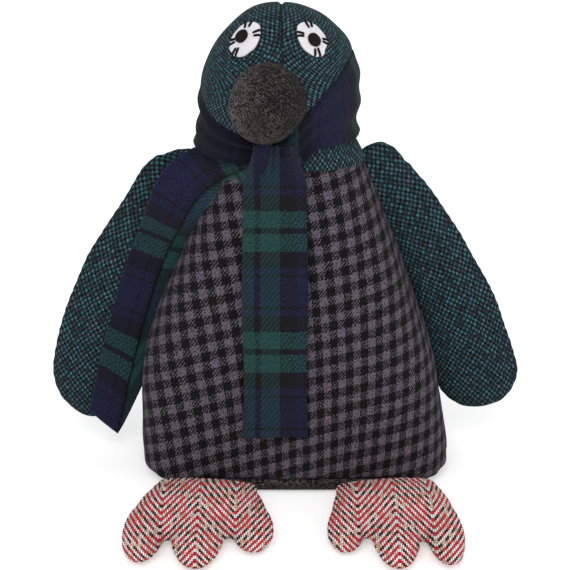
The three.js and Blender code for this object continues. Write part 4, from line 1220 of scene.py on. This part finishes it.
class PENGUIN_OT_scarf(bpy.types.Operator):
    """Make the tartan scarf: the wrap round the neck, the knot and the two tails"""
    bl_idname = "penguin.scarf"
    bl_label = "Scarf"

    def execute(self, context):
        s = settings(context)
        self.body, self.head, self.scarf, self.flippers = s.body, s.head, s.scarf, s.flippers
        knot = self.knot().finish("scarf_knot", finish_of("tartan"))
        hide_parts("scarf")
        made = [
            (self.wrap(), "scarf_wrap", (0.052, 0.315), "folded", ["head"], []),
            (self.front_tail(), "scarf_front_tail", (0.040, 0.195), "hung", ["belly"], [knot]),
            (self.side_tail(), "scarf_side_tail", (0.036, 0.25), "hung",
             ["belly", "flipper_left_cover"], []),
        ]
        for skin, name, flat, held, under, joined in made:
            piece = skin.finish(name, finish_of("tartan"))
            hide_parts("scarf")
        return {"FINISHED"}

    def wrap(self):
        """A band round the neck: folds run along it, and both of its edges are rolled."""
        scarf = self.scarf
        columns, rows, tightest = 300, 90, 4.62
        turn, v = np.meshgrid(around(columns), np.linspace(0, 1, rows))
        low = scarf.lower_edge - 2 * MM + 8 * MM * smooth((np.cos(turn) - 0.22) / 0.3)
        z = lerp(low, wrap_top(turn, scarf), v)
        section = head_section(z, self.body, self.head)
        tight = bell(turn - tightest, 0.35)
        fold = 0.5 + 0.5 * np.sin(v * (5.2 + 2 * tight) * math.pi + 0.9 * np.sin(2 * turn + 0.6) + 1.1)
        edge = puff(v, 0.07) * puff(1 - v, 0.16 + 0.4 * smooth(-np.cos(turn)))
        wave = 0.6 * MM * lumps(stack(turn * 0.05, v * 0.05, 0 * v), 0.03, 51)
        left = smooth(-np.cos(turn) / 0.8) * smooth((0.5 - np.sin(turn)) / 0.5)
        roll = smooth((238 * MM - z) / (30 * MM)) * (0.22 + 0.78 * left) * scarf.roll
        out = (0.9 * MM + 1.6 * MM * fold * (1 - 0.3 * tight) + wave + roll) * edge + 0.5 * MM
        front = on_section(section, turn, z, out)
        back = on_section(section, turn, z, 0.35 * MM + np.maximum(0, roll - 2 * MM) * edge)
        back[0], back[-1] = front[0], front[-1]
        level = closed(z)
        down = (level[-1:] - level) / MM * 0.9 - 2
        middle_row, under_beak = rows // 2, columns * 3 // 4
        arc = along_arc(closed(front), 1)[middle_row] / MM
        right = (arc - arc[under_beak] - 22) % (scarf.repeat / MM)
        # Painted shade on the wrap's left front, on an even 0.1 darkening of the whole wrap.
        shade = 0.1 + 0.5 * closed(left)
        skin = Skin()
        skin.pillow(front, back, stack(down, right, shade), wrap=True)
        return skin

    def front_tail(self):
        """A hanging strip: gathered where it leaves the knot, flat and free below. Its level bands are
        counted in rows of the photograph's picture plane."""
        scarf, body, head = self.scarf, self.body, self.head
        top, middle, stand_off = 225.5 * MM, -13 * MM, 3.4 * MM
        first_row, pixels_per_mm, sett_start = 268, 1.5316, 65.7
        u, v = np.meshgrid(np.linspace(-1, 1, 120), np.linspace(0, 1, 300))
        z = lerp(top, scarf.tail_end, v)
        drop = top - z
        gather = 1 - smooth(drop / (50 * MM))
        half = scarf.tail_half_width * (1 - 0.38 * (1 - smooth(drop / (30 * MM))))
        x = middle + u * half + 0.5 * MM * np.sin(z * 60) * u
        rest = np.where(z > body.shoulder, section_front(head_section(z, body, head), x),
                        section_front(body_section(z, body), x))
        rest = rest.min(axis=1, keepdims=True) * 0.75 + rest * 0.25
        rest = evened(rest, 33)
        stand = (scarf.thickness + scarf.cloth * 0.8) * smooth((z - body.shoulder + 26 * MM) / (34 * MM))
        knot = 5.5 * MM * bell(drop - 9 * MM, 11 * MM) * (1 - 0.7 * u ** 4)
        folds = np.cos(u * 8.5 + 0.7) * 2.2 * MM * gather
        slit = -3.4 * MM * bell(u + 0.07, 0.09) * (1 - smooth((drop - 12 * MM) / (16 * MM)))
        sag = 0.5 * MM * np.sin(z * 75 + 2 * u) + 0.35 * MM * np.sin(z * 150 - 3 * u)
        curl = 0.8 * MM * np.abs(u) ** 6 * smooth(drop / (60 * MM))
        face = rest - stand_off - stand - knot - folds - slit - sag * (1 - gather) - curl
        side = puff((1 - np.abs(u)) * half, 1.3 * MM)
        ends = puff(np.minimum(v, 1 - v) * (top - scarf.tail_end), 1.3 * MM)
        thick = 1.25 * MM * side * ends
        hem = 0.3 * MM * (smooth((v - 0.955) / 0.004) + smooth((0.13 - (1 - np.abs(u))) / 0.02))
        front = stack(x, face - thick - hem * side * ends, z)
        back = stack(x, face + thick, z)
        down = (project_down(front) - first_row) / pixels_per_mm
        shade = 0.25 * (1 - smooth((1 - np.abs(u)) / 0.03))
        skin = Skin()
        skin.pillow(front, back, stack(u * half / MM + sett_start, down, shade))
        return skin

    def side_tail_line(self, t):
        """The side tail's middle line in the picture plane: a curve of four spots."""
        spots = np.array([(-26, 213), (-74, 197), (-97.5, 125), (-122, 13)]) * MM
        t = np.asarray(t)[..., None]
        return ((1 - t) ** 3 * spots[0] + 3 * t * (1 - t) ** 2 * spots[1]
                + 3 * t * t * (1 - t) * spots[2] + t ** 3 * spots[3])

    def flipper_front(self, spots, x, z):
        """How far forward a flipper's face is at given x and z; far behind where they are beside it."""
        best = np.full(x.shape, 1.0)
        for t in np.linspace(0, 1, 60):
            centre = bend_line(spots, t)
            width, thick = flipper_size(t, self.flippers)
            away = np.hypot(x - centre[0], z - centre[2]) / max(1 * MM, float(width))
            best = np.minimum(best, np.where(away < 1, centre[1] - float(thick) * dome(away), 1.0))
        return best

    def side_tail(self):
        """A strip over the shoulder and the flipper, with its inner edge folded back."""
        scarf, body, head = self.scarf, self.body, self.head
        length_down, crease_at = 250 * MM, 0.4
        side = np.linspace(-1, 1, 110)[None, :]
        rows = np.linspace(0, 1, 260)[:, None]
        past = np.maximum(side - crease_at, 0) / (1 - crease_at)
        trim = np.where(side < crease_at, 9 * (crease_at - side) / (1 + crease_at), 27 * past ** 1.3) * MM
        t = rows * (1 - trim / length_down * smooth((rows - 0.5) / 0.5))
        line = self.side_tail_line(t)
        run = self.side_tail_line(t + 0.005) - self.side_tail_line(t - 0.005)
        run /= np.linalg.norm(run, axis=-1, keepdims=True)
        bend = bell(t - 0.30, 0.14)
        low = smooth((t - 0.3) / 0.3)
        half = scarf.side_half_width * (lerp(0.6, 1, smooth(t / 0.2)) + 0.14 * bend - 0.06 * low)
        lead = half * side - 5 * MM * bend - 2.5 * MM * low
        x = line[..., 0] - run[..., 1] * lead
        z = line[..., 1] + run[..., 0] * lead
        rest = np.where(z > body.shoulder, section_front(head_section(z, body, head), x),
                        section_front(body_section(z, body), x))
        rest = np.minimum(rest, self.flipper_front(LEFT_FLIPPER, x, z))
        rest = np.minimum(rest, 0.0)
        tilt = 12 * MM * smooth(t / 0.16) * (1 - smooth(t / 0.55))
        flat = (rest + tilt * side).min(axis=1, keepdims=True) - tilt * side
        flat = evened(0.75 * flat + 0.25 * np.minimum(rest, flat + 6 * MM), 25)
        stand = 1.4 * MM + 1 * MM * (1 - smooth(t / 0.25))
        waves = 1.5 * MM * np.sin(side * 6 + 9 * t) * (1 - smooth((t - 0.1) / 0.35))
        waves = waves + 0.6 * MM * np.sin(t * 21 + side * 2)
        face = flat - stand - waves + scarf_fold(side, t)
        edge = puff((1 - np.abs(side)) * half, 1.4 * MM) * puff(
            np.minimum(rows, 1 - rows) * length_down, 1.4 * MM)
        thick = 1.5 * MM * edge
        front = stack(x, face - thick, z)
        back = stack(x, face + thick, z)
        middle_column = side.size // 2
        down = along_arc(front[:, middle_column:middle_column + 1], 0) / MM
        # Painted shade in the crease of the fold, and painted light on the folded-back strip behind it, which
        # lies in shadow.
        painted_crease_shade_and_strip_light = 0.5 * bell(side - 0.38, 0.035) * smooth((t - 0.05) / 0.1)
        painted_crease_shade_and_strip_light = painted_crease_shade_and_strip_light - 0.35 * smooth((side - 0.42) / 0.1)
        folded = side > crease_at
        skin = Skin()
        skin.pillow(front, back, stack(
            side * half / MM + np.where(folded, 36.5, 28.5), down * 0.9 + np.where(folded, 39, 45), painted_crease_shade_and_strip_light))
        return skin

    def knot(self):
        """A puffed loop of cloth beside the front tail, pulled tight at its two ends."""
        turn, t = np.meshgrid(around(96), np.linspace(0, 1, 80))
        size = np.sin(t * math.pi) ** 0.5 * lerp(0.8, 1, t)
        x, z = lerp(-22 * MM, -19 * MM, t), lerp(207 * MM, 230 * MM, t)
        y = section_front(head_section(z, self.body, self.head), x) - 15 * MM
        points = stack(x + 5.6 * MM * size * np.cos(turn), y + 5.5 * MM * size * np.sin(turn), z)
        creases = 0.8 * MM * np.sin(turn * 5 + 2 * t) * size
        points = swell(points, points - stack(x, y, z), creases)
        angle, down = closed(turn, 2 * math.pi), (1 - closed(t)) * 24
        skin = Skin()
        skin.add(points, stack(angle * 6.5 + 60, down + 5, 0.1))
        return skin


def evened(rest, count):
    """Each column of a grid averaged over a number of rows, with its end rows repeated."""
    kernel = np.ones(count) / count
    return np.apply_along_axis(lambda line: np.convolve(
        np.pad(line, count // 2, mode="edge"), kernel, mode="valid"), 0, rest)


def scarf_fold(side, t):
    """Step back at the side tail's crease, and the slope of the strip behind it."""
    over = np.maximum(0, side - 0.38)
    return smooth(t / 0.25) * (smooth(over / 0.05) * 2.0 * MM + over * 9 * MM)


# The photograph's camera stands a metre in front of the spot that it looks at, and looks down by the rise
CAMERA_AIM = (-7 * MM, -20 * MM, 124.5 * MM)
CAMERA_RISE = math.radians(20)
CAMERA_LENS, CAMERA_SENSOR, PICTURE_SIZE = 100, 36, 570


def project_down(points):
    """Rows of the photograph's picture plane, counted down from its top."""
    y, z = points[..., 1] - CAMERA_AIM[1], points[..., 2] - CAMERA_AIM[2]
    up = y * math.sin(CAMERA_RISE) + z * math.cos(CAMERA_RISE)
    away = 1.0 + y * math.cos(CAMERA_RISE) - z * math.sin(CAMERA_RISE)
    return PICTURE_SIZE / 2 - up * (PICTURE_SIZE * CAMERA_LENS / CAMERA_SENSOR) / away


# Stage

class PENGUIN_OT_stage(bpy.types.Operator):
    """Make the floor, the lamps and the camera"""
    bl_idname = "penguin.stage"
    bl_label = "Floor, lamps and camera"

    def execute(self, context):
        studio = settings(context).studio
        scene = context.scene
        mesh = bpy.data.meshes.new("floor")
        reach, level = 6, -0.2 * MM
        corners = [(x * reach, y * reach, level) for x, y in ((-1, -1), (1, -1), (1, 1), (-1, 1))]
        mesh.from_pydata(corners, [], [(0, 1, 2, 3)])
        floor = bpy.data.objects.new("floor", mesh)
        scene.collection.objects.link(floor)
        mesh.materials.append(self.floor_finish(studio))
        self.world(scene, studio)
        self.lamp("key_lamp", (-0.2, -1.5, 1.45), 1.2, studio.key)
        self.lamp("fill_lamp", (1.25, -1.1, 0.9), 1.4, studio.fill)
        self.lamp("back_lamp", (0.3, 1.3, 1.5), 1.2, studio.fill)
        self.camera(scene)
        scene.view_settings.view_transform = "Standard"
        return {"FINISHED"}

    def floor_finish(self, studio):
        """Pale floor: cameras see it white except where the shadow falls."""
        f = Finish("floor")
        spot = f.node("ShaderNodeTexCoord", None, None, "Object")
        tone = f.shade(studio.floor, 0.985 + f.noise(spot, 9.0, 2.0) * 0.03)
        path = f.node("ShaderNodeLightPath", None, None, "Is Camera Ray")
        seen = path.most(path.other("Is Glossy Ray")).most(path.other("Is Transmission Ray"))
        glow = f.shade((1.0, 1.0, 1.0), seen * 0.42)
        shader = f.node("ShaderNodeBsdfPrincipled", None, {
            "Base Color": tone, "Roughness": 0.9, "Emission Color": glow, "Emission Strength": 1.0})
        f.node("ShaderNodeOutputMaterial", None, {"Surface": shader})
        return f.material

    def world(self, scene, studio):
        """Even white light from all round."""
        world = scene.world or bpy.data.worlds.new("studio")
        scene.world = world
        world.use_nodes = True
        back = world.node_tree.nodes.get("Background") or world.node_tree.nodes.new("ShaderNodeBackground")
        back.inputs["Color"].default_value = (1, 1, 1, 1)
        back.inputs["Strength"].default_value = studio.world

    def lamp(self, name, spot, size, power):
        """An area lamp that faces the middle of the penguin."""
        light = bpy.data.lights.new(name, "AREA")
        light.shape, light.size, light.energy = "SQUARE", size, power
        lamp = bpy.data.objects.new(name, light)
        lamp.location = spot
        lamp.rotation_euler = look(np.array([0, 0, 0.15]) - np.array(spot))
        bpy.context.scene.collection.objects.link(lamp)

    def camera(self, scene):
        """The photograph's camera."""
        data = bpy.data.cameras.new("camera")
        data.lens, data.sensor_width = CAMERA_LENS, CAMERA_SENSOR
        camera = bpy.data.objects.new("camera", data)
        x, y, z = CAMERA_AIM
        camera.location = (x, y - math.cos(CAMERA_RISE), z + math.sin(CAMERA_RISE))
        camera.rotation_euler = (math.pi / 2 - CAMERA_RISE, 0, 0)
        scene.collection.objects.link(camera)
        scene.camera = camera


def look(aim):
    """Turn of a lamp, whose own light falls along -Z, so that it falls along aim."""
    flat = math.hypot(aim[0], aim[1])
    return (math.atan2(flat, -aim[2]), 0, math.atan2(aim[1], aim[0]) - math.pi / 2)


class PENGUIN_PT_panel(bpy.types.Panel):
    """Lists the operators in the sidebar"""
    bl_label = "Penguin door stop"
    bl_space_type = "VIEW_3D"
    bl_region_type = "UI"
    bl_category = "Penguin"

    def draw(self, context):
        for maker in OPERATORS:
            self.layout.operator(maker.bl_idname, text=maker.bl_label)


OPERATORS = (
    PENGUIN_OT_finishes, PENGUIN_OT_body, PENGUIN_OT_head, PENGUIN_OT_beak, PENGUIN_OT_eyes,
    PENGUIN_OT_flippers, PENGUIN_OT_feet, PENGUIN_OT_scarf, PENGUIN_OT_stage)

CLASSES = (
    PENGUIN_PG_body, PENGUIN_PG_head, PENGUIN_PG_beak, PENGUIN_PG_eyes, PENGUIN_PG_flippers,
    PENGUIN_PG_feet, PENGUIN_PG_scarf, PENGUIN_PG_cloths, PENGUIN_PG_studio, PENGUIN_PG_settings,
    *OPERATORS, PENGUIN_PT_panel)


def register():
    for item in CLASSES:
        bpy.utils.register_class(item)
    bpy.types.Scene.penguin_settings = bpy.props.PointerProperty(type=PENGUIN_PG_settings)


def unregister():
    del bpy.types.Scene.penguin_settings
    for item in reversed(CLASSES):
        bpy.utils.unregister_class(item)


def main():
    """Makes every piece in order."""
    register()
    for maker in OPERATORS:
        group, action = maker.bl_idname.split(".")
        getattr(getattr(bpy.ops, group), action)()


if __name__ == "__main__":
    main()
